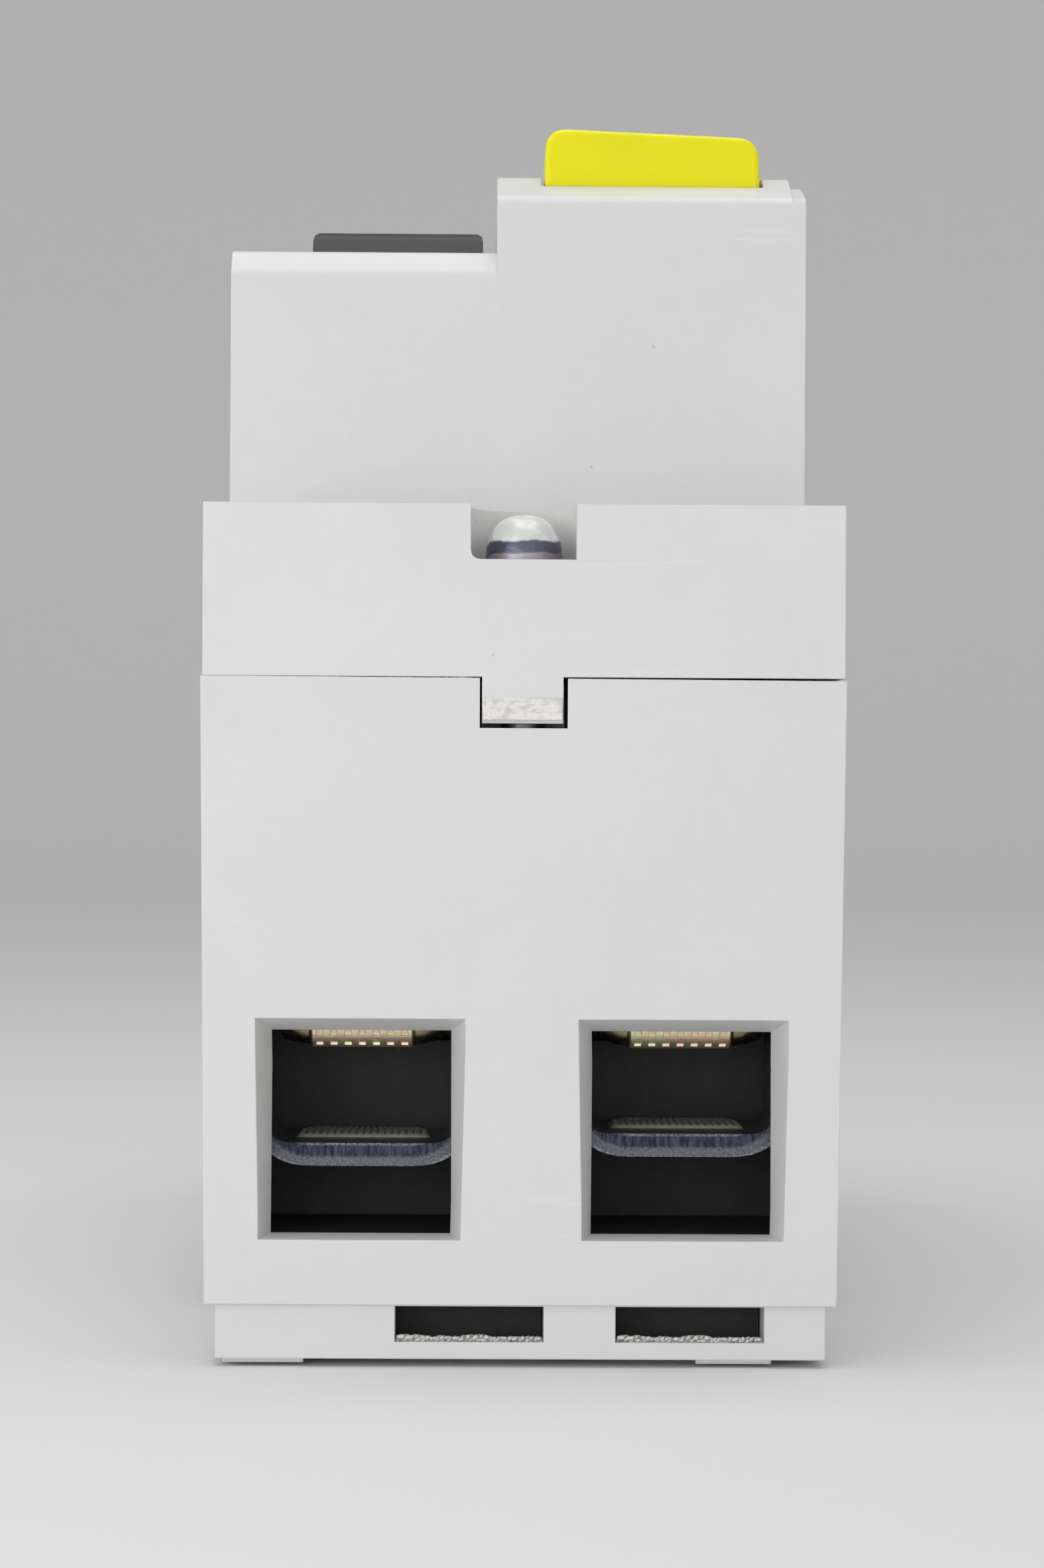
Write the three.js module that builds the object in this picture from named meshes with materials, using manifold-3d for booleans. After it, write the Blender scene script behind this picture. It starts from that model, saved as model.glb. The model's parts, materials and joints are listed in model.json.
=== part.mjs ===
// Two-pole residual current breaker (GFCI) for a DIN rail, 36 mm wide, in millimetres, +Z up.
// It lies on its back: z = 0 is the rear of the rail feet, the toggle and test button point up, and
// -Y is the end that hooks over the rail. The mains enters at -Y (line) and leaves at +Y (load).
import * as THREE from "three";
import { mergeVertices } from "three/addons/utils/BufferGeometryUtils.js";
import Module from "manifold-3d";

const wasm = await Module();
wasm.setup();

// ---------------------------------------------------------------- driving dimensions
const HALF_LENGTH = 42.5; // end face to the middle
const BASE_HALF_WIDTH = { seat: 17.6, parting: 18 }; // the base is drafted
const COVER_HALF_WIDTH = 17.9;
const NOSE = { left: -17.79, right: 17.31, end: 22.5 }; // it stands a little to the left
const FOOT_HALF_WIDTH = 17;
const SEAT_Z = 3.3; // plane that rests on the rail
const FLOOR_Z = 5.2; // inside of the base's rear wall
const PARTING_Z = 38.2; // joint between base and cover
const PARTING_GAP = 0.1;
const SHOULDER_Z = 47.9;
const LOW_FACE_Z = 64.9; // nose front beside the toggle
const HIGH_FACE_Z = 70.1; // nose front behind the test button
const RAMP_Z = 68.1; // where the ramp up to the high face starts
const RIM_Z = 69.5; // narrow ledge beside the high face
const STEP_X = -1.57; // wall between the low and high faces
const ISLAND_X = 16.51; // the high face ends here, and the ledge begins
const WALL = 1.6;
const END_WALL = 2.6;
const CAVITY_HALF_WIDTH = 16.1;
const FIT = 0.3; // gap kept between pieces that touch

const RAIL_HALF = 17.8; // half the rail slot
const FOOT_END = 42.2; // the feet stand back a little from the end faces
const HOOK_REACH = 1.5;
const HOOK_TOP = 1.2;
const HOOK_WINDOWS = [[-7, 1.3], [5.3, 13.6]]; // x of the two fixed hooks
const WEB = 1.6; // thickness of the strip under each window
const PLUG = { front: -38.9, back: -37.9 }; // dark plug that blanks the passage behind each window
const PADS = [[-16.6, -12.1], [9.8, 14]]; // the feet stand on these
const PAD_HEIGHT = 0.25;

const TERMINAL_X = 9;
const TERMINAL_Y = 35.1; // screw axis, from the middle
const ENTRY_MOUTH = { lowHalf: 5.64, highHalf: 5.86, low: 6.9, high: 19.22 }; // wire entry at the end face
const ENTRY_THROAT = { lowHalf: 5.04, highHalf: 5.04, low: 7, high: 18.4 }; // and inside the wall
const CHAMBER = { half: 6.5, back: 30.2, floor: 6.9, roof: 30.2 };
const LINER = { front: 39.75, back: 28.6, halfWidth: 15.95, top: 37.6 };
const PLATE = { half: 4.6, low: 17.5, high: 19, front: 39.3 }; // fixed terminal plate
const CAGE = { half: 6.25, wall: 0.9, floor: 1.35, height: 14.4, top: 2.4, halfLength: 3.9 };
const CAGE_REST = { left: 10.63, right: 11.23 }; // underside of each line cage as it stands
const CAGE_REST_LOAD = { left: 10.93, right: 10.93 };
const SCREW = { shank: 2.4, head: 3.3, tip: 19.4, shoulder: 31.4, top: 34.8 };
const WELL_RADIUS = 3.75; // screwdriver well over each terminal screw

const COVER_SCREW = { y: 39, head: 2.17, shank: 1.25, seat: 43, top: 47.5, tip: 24 };
const POCKET = { radius: 2.95, floor: 42.9, notch: 44.8 };
const TONGUE = { x0: -2.33, x1: 2.2, bottom: 35.67, bevel: 37.2 };
const TONGUE_SLOT = { half: 2.45, bottom: 35.4 };

const TOGGLE = { x: -8.3, z: 52.8, half: 5.85, drum: 13.5, lever: 19.3, offAngle: 28 };
const CRANK = { y: -5, z: -4.9 }; // link hole in the toggle, from its pivot
const LINK_LENGTH = 20.83;
const LINK_OFF_ANGLE = 2.7; // degrees that the link leans to -Y with the toggle off
const LINK_X = -8.6;
const CARRIER = { y: -2.5, z: 18, openAngle: 20 };
const LUG = { y: -9, z: 9.5 }; // link hole in the carrier, from its pivot
const BUTTON = { x: 8, y: -16.5, half: 6.7, depth: 3.4, left: 72.85, right: 72.3, gap: 0.15 };
const TRIP_PIVOT = { y: 6.8, z: 33.5 };
const RELAY = { x0: -15.8, x1: -7.6, y0: 8.5, y1: 23.2, z0: 5.5, z1: 23.5 };
const PLUNGER = { x: -11.7, y: 12 };
const RING = { x: 4.5, z: 17.5, y0: 12, y1: 21, inner: 6, outer: 11 };

// ---------------------------------------------------------------- materials
const material = (color, roughness, metalness = 0) =>
  new THREE.MeshStandardMaterial({ color, roughness, metalness });
const FINISH = {
  white: material(0xdcdcda, 0.45),
  dark: material(0x26292a, 0.5),
  grey: material(0x44484a, 0.4),
  yellow: material(0xe4dd12, 0.3),
  cream: material(0xd9d2bd, 0.6),
  zinc: material(0xa9adb5, 0.35, 0.9),
  gold: material(0xb59b5f, 0.35, 0.9),
  steel: material(0xc4c7cb, 0.25, 1),
  copper: material(0xb4683f, 0.35, 0.9),
  silver: material(0xd6d6d2, 0.25, 1),
  blue: material(0x2c4f8c, 0.5),
  brown: material(0x5a3420, 0.5),
  label: material(0xe9ebec, 0.4),
};

// ---------------------------------------------------------------- shape helpers
const DEGREE = Math.PI / 180;
const ROUND = 24; // sides of a round piece
const SMALL_ROUND = 16;

// A closed geometry as a manifold-3d solid.
function solidOf(geometry) {
  const bare = geometry.clone();
  bare.deleteAttribute("normal");
  bare.deleteAttribute("uv");
  const merged = mergeVertices(bare, 1e-4);
  return new wasm.Manifold(new wasm.Mesh({
    numProp: 3,
    vertProperties: merged.attributes.position.array,
    triVerts: new Uint32Array(merged.index.array),
  }));
}

function geometryOf(solid) {
  const mesh = solid.getMesh();
  const geometry = new THREE.BufferGeometry();
  geometry.setAttribute("position", new THREE.BufferAttribute(mesh.vertProperties, 3));
  geometry.setIndex(new THREE.BufferAttribute(mesh.triVerts, 1));
  geometry.computeVertexNormals();
  return geometry;
}

const combine = (first, others, operation) =>
  geometryOf(others.reduce((solid, other) => solid[operation](solidOf(other)), solidOf(first)));
const join = (first, ...others) => combine(first, others, "add");
const cut = (first, ...others) => combine(first, others, "subtract");

function box(x0, x1, y0, y1, z0, z1) {
  return new THREE.BoxGeometry(x1 - x0, y1 - y0, z1 - z0)
    .translate((x0 + x1) / 2, (y0 + y1) / 2, (z0 + z1) / 2);
}

// A closed outline of points [a, b] or [a, b, radius], where a radius rounds that corner.
function outline(points) {
  const shape = new THREE.Shape();
  points.forEach(([a, b, radius = 0], i) => {
    const corner = new THREE.Vector2(a, b);
    const towards = ([c, d]) =>
      new THREE.Vector2(c, d).sub(corner).setLength(radius).add(corner);
    const enter = towards(points.at(i - 1));
    const leave = towards(points[(i + 1) % points.length]);
    if (i === 0) shape.moveTo(enter.x, enter.y);
    else shape.lineTo(enter.x, enter.y);
    if (radius) shape.quadraticCurveTo(corner.x, corner.y, leave.x, leave.y);
  });
  return shape;
}

function extrude(shape, depth, curveSegments = 4) {
  return new THREE.ExtrudeGeometry(shape, { depth, bevelEnabled: false, curveSegments });
}

const AXES = {
  x: [new THREE.Vector3(0, 1, 0), new THREE.Vector3(0, 0, 1), new THREE.Vector3(1, 0, 0)],
  y: [new THREE.Vector3(1, 0, 0), new THREE.Vector3(0, 0, 1), new THREE.Vector3(0, -1, 0)],
};

// An outline in (y, z) swept along X, or in (x, z) swept along Y.
function prismX(points, x0, x1, curveSegments) {
  const basis = new THREE.Matrix4().makeBasis(...AXES.x);
  return extrude(outline(points), x1 - x0, curveSegments).applyMatrix4(basis).translate(x0, 0, 0);
}
function prismY(points, y0, y1, curveSegments) {
  const basis = new THREE.Matrix4().makeBasis(...AXES.y);
  return extrude(outline(points), y1 - y0, curveSegments).applyMatrix4(basis).translate(0, y1, 0);
}

function rodZ(radius, z0, z1, x = 0, y = 0, sides = ROUND) {
  return new THREE.CylinderGeometry(radius, radius, z1 - z0, sides)
    .rotateX(Math.PI / 2).translate(x, y, (z0 + z1) / 2);
}
function rodX(radius, x0, x1, y = 0, z = 0, sides = SMALL_ROUND) {
  return new THREE.CylinderGeometry(radius, radius, x1 - x0, sides)
    .rotateZ(Math.PI / 2).translate((x0 + x1) / 2, y, z);
}

// A turned piece about Z from its profile of [radius, z], starting and ending on the axis.
function turned(profile, sides = ROUND) {
  const points = profile.map(([r, z]) => new THREE.Vector2(r, z));
  return new THREE.LatheGeometry(points, sides).rotateX(Math.PI / 2);
}

// A coil spring about Z, standing from z0 to z1.
function coil(radius, wire, z0, z1, turns, stepsPerTurn = 10) {
  class Helix extends THREE.Curve {
    getPoint(t, target = new THREE.Vector3()) {
      const angle = 2 * Math.PI * turns * t;
      const height = z0 + wire + t * (z1 - z0 - 2 * wire);
      return target.set(radius * Math.cos(angle), radius * Math.sin(angle), height);
    }
  }
  const section = new THREE.Shape();
  section.absarc(0, 0, wire, 0, 2 * Math.PI, false);
  return new THREE.ExtrudeGeometry(section, {
    steps: turns * stepsPerTurn,
    extrudePath: new Helix(),
    curveSegments: 3,
    bevelEnabled: false,
  });
}

// A round wire of this radius along a smooth curve through the points.
function wire(points, radius, steps) {
  const path = new THREE.CatmullRomCurve3(points.map((p) => new THREE.Vector3(...p)));
  const section = new THREE.Shape();
  section.absarc(0, 0, radius, 0, 2 * Math.PI, false);
  return new THREE.ExtrudeGeometry(section, {
    steps, extrudePath: path, curveSegments: 5, bevelEnabled: false,
  });
}

// The same piece turned half round Z, for the load end.
const otherEnd = (geometry) => geometry.clone().rotateZ(Math.PI);

function named(name, geometry, finish, place = [0, 0, 0]) {
  const mesh = new THREE.Mesh(geometry, finish);
  mesh.name = name;
  mesh.position.set(...place);
  return mesh;
}

// ---------------------------------------------------------------- base housing
// A wire entry at the -Y end: a four-sided funnel through the end wall.
function entryFunnel(x) {
  const past = 0.5;
  const beyond = past / END_WALL; // the taper carries on past both faces
  const geometry = new THREE.BoxGeometry(2, END_WALL + 2 * past, 2);
  const position = geometry.getAttribute("position");
  for (let i = 0; i < position.count; i++) {
    const [rim, far] = position.getY(i) < 0 ? [ENTRY_MOUTH, ENTRY_THROAT] : [ENTRY_THROAT, ENTRY_MOUTH];
    const carried = (key) => rim[key] + (rim[key] - far[key]) * beyond;
    const y = position.getY(i) - HALF_LENGTH + END_WALL / 2;
    const below = position.getZ(i) < 0;
    const half = carried(below ? "lowHalf" : "highHalf");
    position.setXYZ(i, x + position.getX(i) * half, y, carried(below ? "low" : "high"));
  }
  return geometry;
}

// A rail foot at the -Y end: a slab with its lower outer edge eased.
function footSlab() {
  const ease = 0.3;
  const embedded = SEAT_Z + 0.6;
  return prismX([
    [-FOOT_END, ease], [-FOOT_END + ease, 0], [-RAIL_HALF, 0], [-RAIL_HALF, embedded], [-FOOT_END, embedded],
  ], -FOOT_HALF_WIDTH, FOOT_HALF_WIDTH);
}

function baseHousing() {
  const { seat, parting } = BASE_HALF_WIDTH;
  const top = PARTING_Z - PARTING_GAP / 2;
  const side = [[-seat, SEAT_Z], [seat, SEAT_Z], [parting, top], [-parting, top]];
  const block = prismY(side, -HALF_LENGTH, HALF_LENGTH);
  const inside = HALF_LENGTH - END_WALL;
  const cavity = box(-CAVITY_HALF_WIDTH, CAVITY_HALF_WIDTH, -inside, inside, FLOOR_Z, 50);
  const shell = cut(join(block, footSlab(), otherEnd(footSlab())), cavity);

  const hookTip = -RAIL_HALF + HOOK_REACH;
  const hookRoot = -RAIL_HALF - 2;
  const hooks = HOOK_WINDOWS.flatMap(([x0, x1]) => [
    box(x0, x1, hookRoot, hookTip, PAD_HEIGHT, HOOK_TOP),
    box(x0 - 0.3, x1 + 0.3, hookRoot, -RAIL_HALF - 0.1, PAD_HEIGHT, HOOK_TOP),
  ]);
  const screwPosts = [-1, 1].map((end) => {
    const ys = [end * 40.2, end * 36.6].sort((a, b) => a - b);
    return box(-2.4, 2.4, ...ys, FLOOR_Z - 1, PARTING_Z - 0.2);
  });
  const bearings = [-1, 1].map((side) => {
    const xs = [side * 14.5, side * (CAVITY_HALF_WIDTH + 0.5)].sort((a, b) => a - b);
    return box(...xs, CARRIER.y - 2.6, CARRIER.y + 2.6, FLOOR_Z - 1, CARRIER.z + 2.8);
  });
  const mechanismPosts = [
    box(-16.5, -13.7, 3.4, 7.6, FLOOR_Z - 1, 30.7),
    box(-2.5, -0.6, 3.4, 6, FLOOR_Z - 1, 30.7),
  ];

  const ceiling = SEAT_Z - 0.1;
  const hookChannels = HOOK_WINDOWS.flatMap(([x0, x1]) => [
    box(x0, x1, -50, -RAIL_HALF + 2, HOOK_TOP, ceiling),
    box(x0, x1, -FOOT_END + WEB, hookRoot, -1, ceiling),
  ]);
  const clipSlot = [
    box(-6.2, 6.2, RAIL_HALF - 1, 50, 1.7, ceiling),
    box(-4.6, 4.6, RAIL_HALF - 1, 50, -1, 2),
  ];
  const coring = [];
  [-1, 1].forEach((side) => [[20.2, 29.4], [31, 40.2]].forEach(([y0, y1]) => {
    const xs = [side * 8, side * 15.4].sort((a, b) => a - b);
    coring.push(box(...xs, y0, y1, -1, 3));
  }));
  const underside = [[-50, PADS[0][0]], [PADS[0][1], PADS[1][0]], [PADS[1][1], 50]].flatMap(([x0, x1]) => [
    box(x0, x1, -50, -RAIL_HALF + 2, -1, PAD_HEIGHT),
    otherEnd(box(x0, x1, -50, -RAIL_HALF + 2, -1, PAD_HEIGHT)),
  ]);
  const entries = [-TERMINAL_X, TERMINAL_X].flatMap((x) => [entryFunnel(x), otherEnd(entryFunnel(x))]);
  const tongueSlots = [-1, 1].map((end) => {
    const ys = [end * 43, end * 38].sort((a, b) => a - b);
    return box(-TONGUE_SLOT.half, TONGUE_SLOT.half, ...ys, TONGUE_SLOT.bottom, 50);
  });
  const screwHoles = [-COVER_SCREW.y, COVER_SCREW.y].map((y) =>
    rodZ(COVER_SCREW.shank + FIT, 20, 50, 0, y, SMALL_ROUND));
  const pivotHole = rodX(1.5, -CAVITY_HALF_WIDTH, CAVITY_HALF_WIDTH, CARRIER.y, CARRIER.z);

  const cored = cut(shell, ...underside, ...hookChannels, ...clipSlot, ...coring, ...entries);
  const built = join(cored, ...hooks, ...screwPosts, ...bearings, ...mechanismPosts);
  return cut(built, ...tongueSlots, ...screwHoles, pivotHole);
}

// ---------------------------------------------------------------- cover housing
// The nose in side view behind the toggle: upright ends, then a facet up to the flat front.
function lowProfile(faceZ, inset = 0) {
  const end = NOSE.end - inset;
  const facet = { rise: 1.45, run: 1.2, edge: 0.4 };
  return [
    [end, 46], [end, faceZ - facet.rise, facet.edge], [end - facet.run, faceZ, facet.edge],
    [-end + facet.run, faceZ, facet.edge], [-end, faceZ - facet.rise, facet.edge], [-end, 46],
  ];
}

// And behind the test button: upright ends, a small round, then a ramp up to the front face.
function rampProfile(faceZ, rampStartZ, inset = 0) {
  const end = NOSE.end - inset;
  const ramp = 4.5;
  return [
    [end, 46], [end, rampStartZ, 0.6], [end - ramp, faceZ, 0.8],
    [-end + ramp, faceZ, 0.8], [-end, rampStartZ, 0.6], [-end, 46],
  ];
}

function coverHousing() {
  const [w, l] = [COVER_HALF_WIDTH, HALF_LENGTH];
  const skirt = box(-w, w, -l, l, PARTING_Z + PARTING_GAP / 2, SHOULDER_Z);
  const nose = [
    prismX(lowProfile(LOW_FACE_Z), NOSE.left, NOSE.right),
    prismX(rampProfile(RIM_Z, RAMP_Z), STEP_X, NOSE.right),
    prismX(rampProfile(HIGH_FACE_Z, RAMP_Z), STEP_X, ISLAND_X),
  ];
  const skirtCavity = box(-w + WALL, w - WALL, -l + WALL, l - WALL, 30, SHOULDER_Z - WALL);
  const noseCavity = [
    prismX(lowProfile(LOW_FACE_Z - WALL, WALL), NOSE.left + WALL, NOSE.right - WALL),
    prismX(rampProfile(HIGH_FACE_Z - WALL, RAMP_Z - WALL, WALL), STEP_X + WALL, NOSE.right - WALL),
  ];
  const shell = cut(join(skirt, ...nose), skirtCavity, ...noseCavity);

  const bosses = [];
  const bores = [];
  [-1, 1].forEach((end) => {
    const span = (a, b) => [end * a, end * b].sort((p, q) => p - q);
    bosses.push(box(-4, 4, ...span(HALF_LENGTH - 0.5, 34.8), PARTING_Z + 0.3, SHOULDER_Z - 0.5));
    bores.push(rodZ(POCKET.radius, POCKET.floor, 60, 0, end * COVER_SCREW.y));
    bores.push(rodZ(COVER_SCREW.shank + FIT, 30, 60, 0, end * COVER_SCREW.y, SMALL_ROUND));
    [-TERMINAL_X, TERMINAL_X].forEach((x) => {
      bosses.push(rodZ(WELL_RADIUS + 1, PARTING_Z + 0.3, SHOULDER_Z - 0.5, x, end * TERMINAL_Y));
      bores.push(rodZ(WELL_RADIUS, 30, 60, x, end * TERMINAL_Y));
    });
  });

  const notchOutline = [[-3, POCKET.notch, 0.6], [2.9, POCKET.notch], [2.9, 60], [-3, 60]];
  const notch = prismY(notchOutline, -43, -COVER_SCREW.y);
  bores.push(notch, otherEnd(notch));
  const tongue = prismX([
    [-HALF_LENGTH, PARTING_Z + 1], [-HALF_LENGTH, TONGUE.bevel], [-HALF_LENGTH + 0.3, TONGUE.bottom],
    [-HALF_LENGTH + WALL, TONGUE.bottom], [-HALF_LENGTH + WALL, PARTING_Z + 1],
  ], TONGUE.x0, TONGUE.x1);
  const toggleWindow = box(TOGGLE.x - TOGGLE.half - 0.4, TOGGLE.x + TOGGLE.half + 0.35, -9.1, 9.1, 55, 68);
  const buttonHole = box(
    BUTTON.x - BUTTON.half - BUTTON.gap, BUTTON.x + BUTTON.half + BUTTON.gap,
    BUTTON.y - BUTTON.depth - BUTTON.gap, BUTTON.y + BUTTON.depth + BUTTON.gap, 60, 80);
  return cut(join(shell, ...bosses, tongue, otherEnd(tongue)), ...bores, toggleWindow, buttonHole);
}

function coverScrew() {
  const { head, shank, seat, top, tip } = COVER_SCREW;
  const domeFoot = seat + 2.1;
  const profile = [
    [0, tip], [shank - 0.5, tip], [shank, tip + 0.8], [shank, seat], [head, seat], [head, domeFoot],
  ];
  for (let step = 1; step <= 6; step++) {
    const angle = step * 15 * DEGREE;
    profile.push([head * Math.cos(angle), domeFoot + (top - domeFoot) * Math.sin(angle)]);
  }
  profile[profile.length - 1][0] = 0;
  return turned(profile);
}

// ---------------------------------------------------------------- terminals, for the -Y end
function terminalLiner() {
  const block = box(-LINER.halfWidth, LINER.halfWidth, -LINER.front, -LINER.back, FLOOR_Z + 0.15, LINER.top);
  const hollows = [-TERMINAL_X, TERMINAL_X].flatMap((x) => [
    box(x - CHAMBER.half, x + CHAMBER.half, -41, -CHAMBER.back, CHAMBER.floor, CHAMBER.roof),
    rodZ(SCREW.shank + 0.5, 29, 40, x, -TERMINAL_Y),
    rodZ(SCREW.head + 0.4, SCREW.shoulder - FIT, 40, x, -TERMINAL_Y),
    box(x - PLATE.half - FIT, x + PLATE.half + FIT, -31, -28, PLATE.low - FIT, PLATE.high + FIT),
  ]);
  return cut(block, ...hollows, box(-2.7, 2.7, -41, -36.3, 0, 40));
}

function terminalCage() {
  const { half, wall, floor, height, top, halfLength } = CAGE;
  const section = [[-half, 0, 3.4], [half, 0, 3.4], [half, height, 0.9], [-half, height, 0.9]];
  const outer = prismY(section, -halfLength, halfLength, 10);
  const inner = prismY([
    [wall - half, floor, 1.4], [half - wall, floor, 1.4],
    [half - wall, height - top, 0.4], [wall - half, height - top, 0.4],
  ], -5, 5, 10);
  return cut(outer, inner, rodZ(SCREW.shank + 0.35, 5, 20));
}

function terminalScrew() {
  const { shank, head, tip, shoulder, top } = SCREW;
  const body = turned([
    [0, tip], [shank - 0.4, tip], [shank, tip + 0.4], [shank, shoulder], [head, shoulder], [head, top - 0.4],
    [head - 0.4, top], [0, top],
  ]);
  const arm = 2.3;
  const cross = [
    box(-arm, arm, -0.45, 0.45, top - 1.5, top + 1),
    box(-0.45, 0.45, -arm, arm, top - 1.5, top + 1),
  ];
  return cut(body, ...cross);
}

// The terminal plate with its front lip turned up to lead the wire in.
function terminalPlate(innerEnd) {
  const { half, low, high, front } = PLATE;
  return prismX([
    [-front, low + 0.35], [-front + 1.4, low], [-innerEnd, low], [-innerEnd, high], [-front + 1.4, high],
    [-front, high + 0.35],
  ].reverse(), -half, half);
}

// The line side plate carries on down into the contact chamber as the fixed contact.
function fixedContact() {
  const riser = box(-3, 3, -27.8, -26.6, 7.4, PLATE.high);
  const foot = box(-3, 3, -27.8, -16, 7.4, 8.6);
  return join(terminalPlate(27.6), riser, foot);
}
const fixedContactTip = () => rodZ(2.1, 8.62, 9.6, 0, -18.2, SMALL_ROUND);

function arcChute() {
  const depth = [-26.3, -22];
  const cheeks = [-1, 1].map((side) => {
    const xs = [side * 4.4, side * 5].sort((a, b) => a - b);
    return box(...xs, ...depth, 9.6, 19.6);
  });
  const plates = [10.6, 12.8, 15, 17.2].map((z) => box(-4.6, 4.6, ...depth, z, z + 0.7));
  return join(...cheeks, ...plates);
}

// ---------------------------------------------------------------- contact carrier, about its pivot, closed
function contactCarrier() {
  const bar = prismX([
    [-5, -3.6, 0.8], [4.2, -3.6, 1.5], [4.2, 3.4, 1.5], [0, 6.5, 0.5], [-10.6, 6.5, 0.5],
    [-10.6, 5.1], [-5, 5.1],
  ], -14.1, 14.1);
  const tail = LUG.y - 3;
  const lugSide = [[tail, 5.2], [tail + 6, 5.2], [tail + 6, LUG.z + 3, 1.8], [tail, LUG.z + 3, 1.8]];
  const lug = prismX(lugSide, LINK_X - 1, LINK_X + 1);
  const armPockets = [-TERMINAL_X, TERMINAL_X].flatMap((x) => [
    box(x - 2.8, x + 2.8, -12, 6, -5, 1.1),
    box(x - 2.8, x + 2.8, -2.8, 6, -5, 2.7),
    box(x - 2.8, x + 2.8, -12, -5, 1, 5.1),
  ]);
  return cut(join(bar, lug), ...armPockets, rodX(1.5, -20, 20), rodX(2.1, -12, -5, LUG.y, LUG.z));
}

function movingContact() {
  const blade = prismX([
    [3.5, -0.8], [3.5, 0.8], [-10.2, 0.8], [-14, -5.4],
    [-18.2, -5.4], [-18.2, -7], [-14.6, -7], [-10.9, -0.8],
  ], -2.5, 2.5);
  return cut(join(blade, rodX(2.4, -2.5, 2.5)), rodX(1.5, -5, 5));
}

const movingContactTip = () => rodZ(1.9, -8.3, -7.05, 0, -15.9, SMALL_ROUND);

// ---------------------------------------------------------------- toggle, about its pivot, upright
function toggleHandle() {
  const { half, drum, lever } = TOGGLE;
  const sector = (outer, inner, x0, x1) => {
    const spread = 70 * DEGREE;
    const shape = new THREE.Shape();
    shape.absarc(0, 0, outer, Math.PI / 2 - spread, Math.PI / 2 + spread, false);
    shape.absarc(0, 0, inner, Math.PI / 2 + spread, Math.PI / 2 - spread, true);
    const basis = new THREE.Matrix4().makeBasis(...AXES.x);
    return extrude(shape, x1 - x0, 18).applyMatrix4(basis).translate(x0, 0, 0);
  };
  const hub = rodX(3.2, -half, half, 0, 0, ROUND);
  const skin = sector(drum, drum - 1.6, -half, half);
  const webs = [sector(drum - 0.4, 2.4, -half, -half + 1.2), sector(drum - 0.4, 2.4, half - 1.2, half)];
  const side = [[-2.5, drum - 1], [2.5, drum - 1], [1.8, lever, 1.2], [-1.8, lever, 1.2]];
  const handle = prismX(side, -half, half);
  const local = LINK_X - TOGGLE.x;
  const crank = prismX([
    [CRANK.y - 1.9, CRANK.z + 1.9, 1.6], [CRANK.y + 1.9, CRANK.z - 1.9, 1.6], [1.6, -1.6], [-1.6, 1.6],
  ], local - 1, local + 1);
  return cut(join(hub, skin, ...webs, handle, crank), rodX(1.55, -10, 10), rodX(1, -6, 6, CRANK.y, CRANK.z));
}

// The wire link hangs from the toggle's crank and ends in the carrier's lug. Its top pin is at the origin.
function toggleLink() {
  const radius = 0.7;
  const side = LINK_X - 1.95;
  const tip = LINK_X + 1.6;
  const pins = [rodX(radius, side, tip, 0, 0, 10), rodX(radius, side, tip, 0, -LINK_LENGTH, 10)];
  const shank = rodZ(radius, -LINK_LENGTH, 0, side, 0, 10);
  const corners = [0, -LINK_LENGTH].map((z) =>
    new THREE.SphereGeometry(radius * 1.04, 10, 8).translate(side, 0, z));
  return join(shank, ...pins, ...corners);
}

function mechanismFrame() {
  const sheet = 0.8;
  const [left, right] = [-15, -0.9];
  const plate = [[-8, 31], [9, 31], [9, 44], [5, 56.8, 2], [-5, 56.8, 2], [-8, 44]];
  const sides = [prismX(plate, left, left + sheet), prismX(plate, right - sheet, right)];
  const floor = box(left, right, 2, 9, 31, 31 + sheet);
  const back = box(left, right, 9 - sheet, 9, 31, 32.6);
  const holes = [rodX(1.5, -20, 0, 0, TOGGLE.z), rodX(1.3, -20, 0, TRIP_PIVOT.y, TRIP_PIVOT.z)];
  const leverSlot = box(-13.1, -10.3, 4.4, 10, 30, 33);
  return cut(join(...sides, floor, back), ...holes, leverSlot);
}

// The trip lever hangs over the relay's plunger. Its pivot is at the origin.
function tripLever() {
  const arm = prismX([
    [-1.4, -1.4], [3.6, -6.8], [6.6, -6.8], [6.6, -5.3], [4.3, -5.3], [1.4, 1.2],
    [0.2, 6.8, 0.6], [-1.6, 6.8, 0.6],
  ], -12.6, -10.8);
  return cut(join(arm, rodX(2, -12.9, -10.5)), rodX(1.3, -20, 0));
}

// ---------------------------------------------------------------- residual current parts
function transformerRing() {
  const half = (RING.y1 - RING.y0) / 2;
  const ease = 0.8;
  const profile = [
    [RING.inner, -half + ease], [RING.inner + ease, -half],
    [RING.outer - ease, -half], [RING.outer, -half + ease],
    [RING.outer, half - ease], [RING.outer - ease, half],
    [RING.inner + ease, half], [RING.inner, half - ease],
    [RING.inner, -half + ease],
  ];
  return turned(profile, 32).rotateX(Math.PI / 2);
}

function relayCase() {
  const { x0, x1, y0, y1, z0, z1 } = RELAY;
  const body = prismY([[x0, z0, 0.5], [x1, z0, 0.5], [x1, z1, 0.5], [x0, z1, 0.5]], y0, y1);
  const lid = box(x0 + 0.8, x1 - 0.8, y0 + 0.8, y1 - 0.8, z1 - 0.1, z1 + 0.9);
  return cut(join(body, lid), rodZ(1.15, 16, 30, PLUNGER.x, PLUNGER.y, SMALL_ROUND));
}
const relayPlunger = () =>
  turned([[0, 17], [0.8, 17], [0.8, 25.2], [1.2, 25.2], [1.2, 26.2], [0, 26.2]], SMALL_ROUND);

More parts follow.
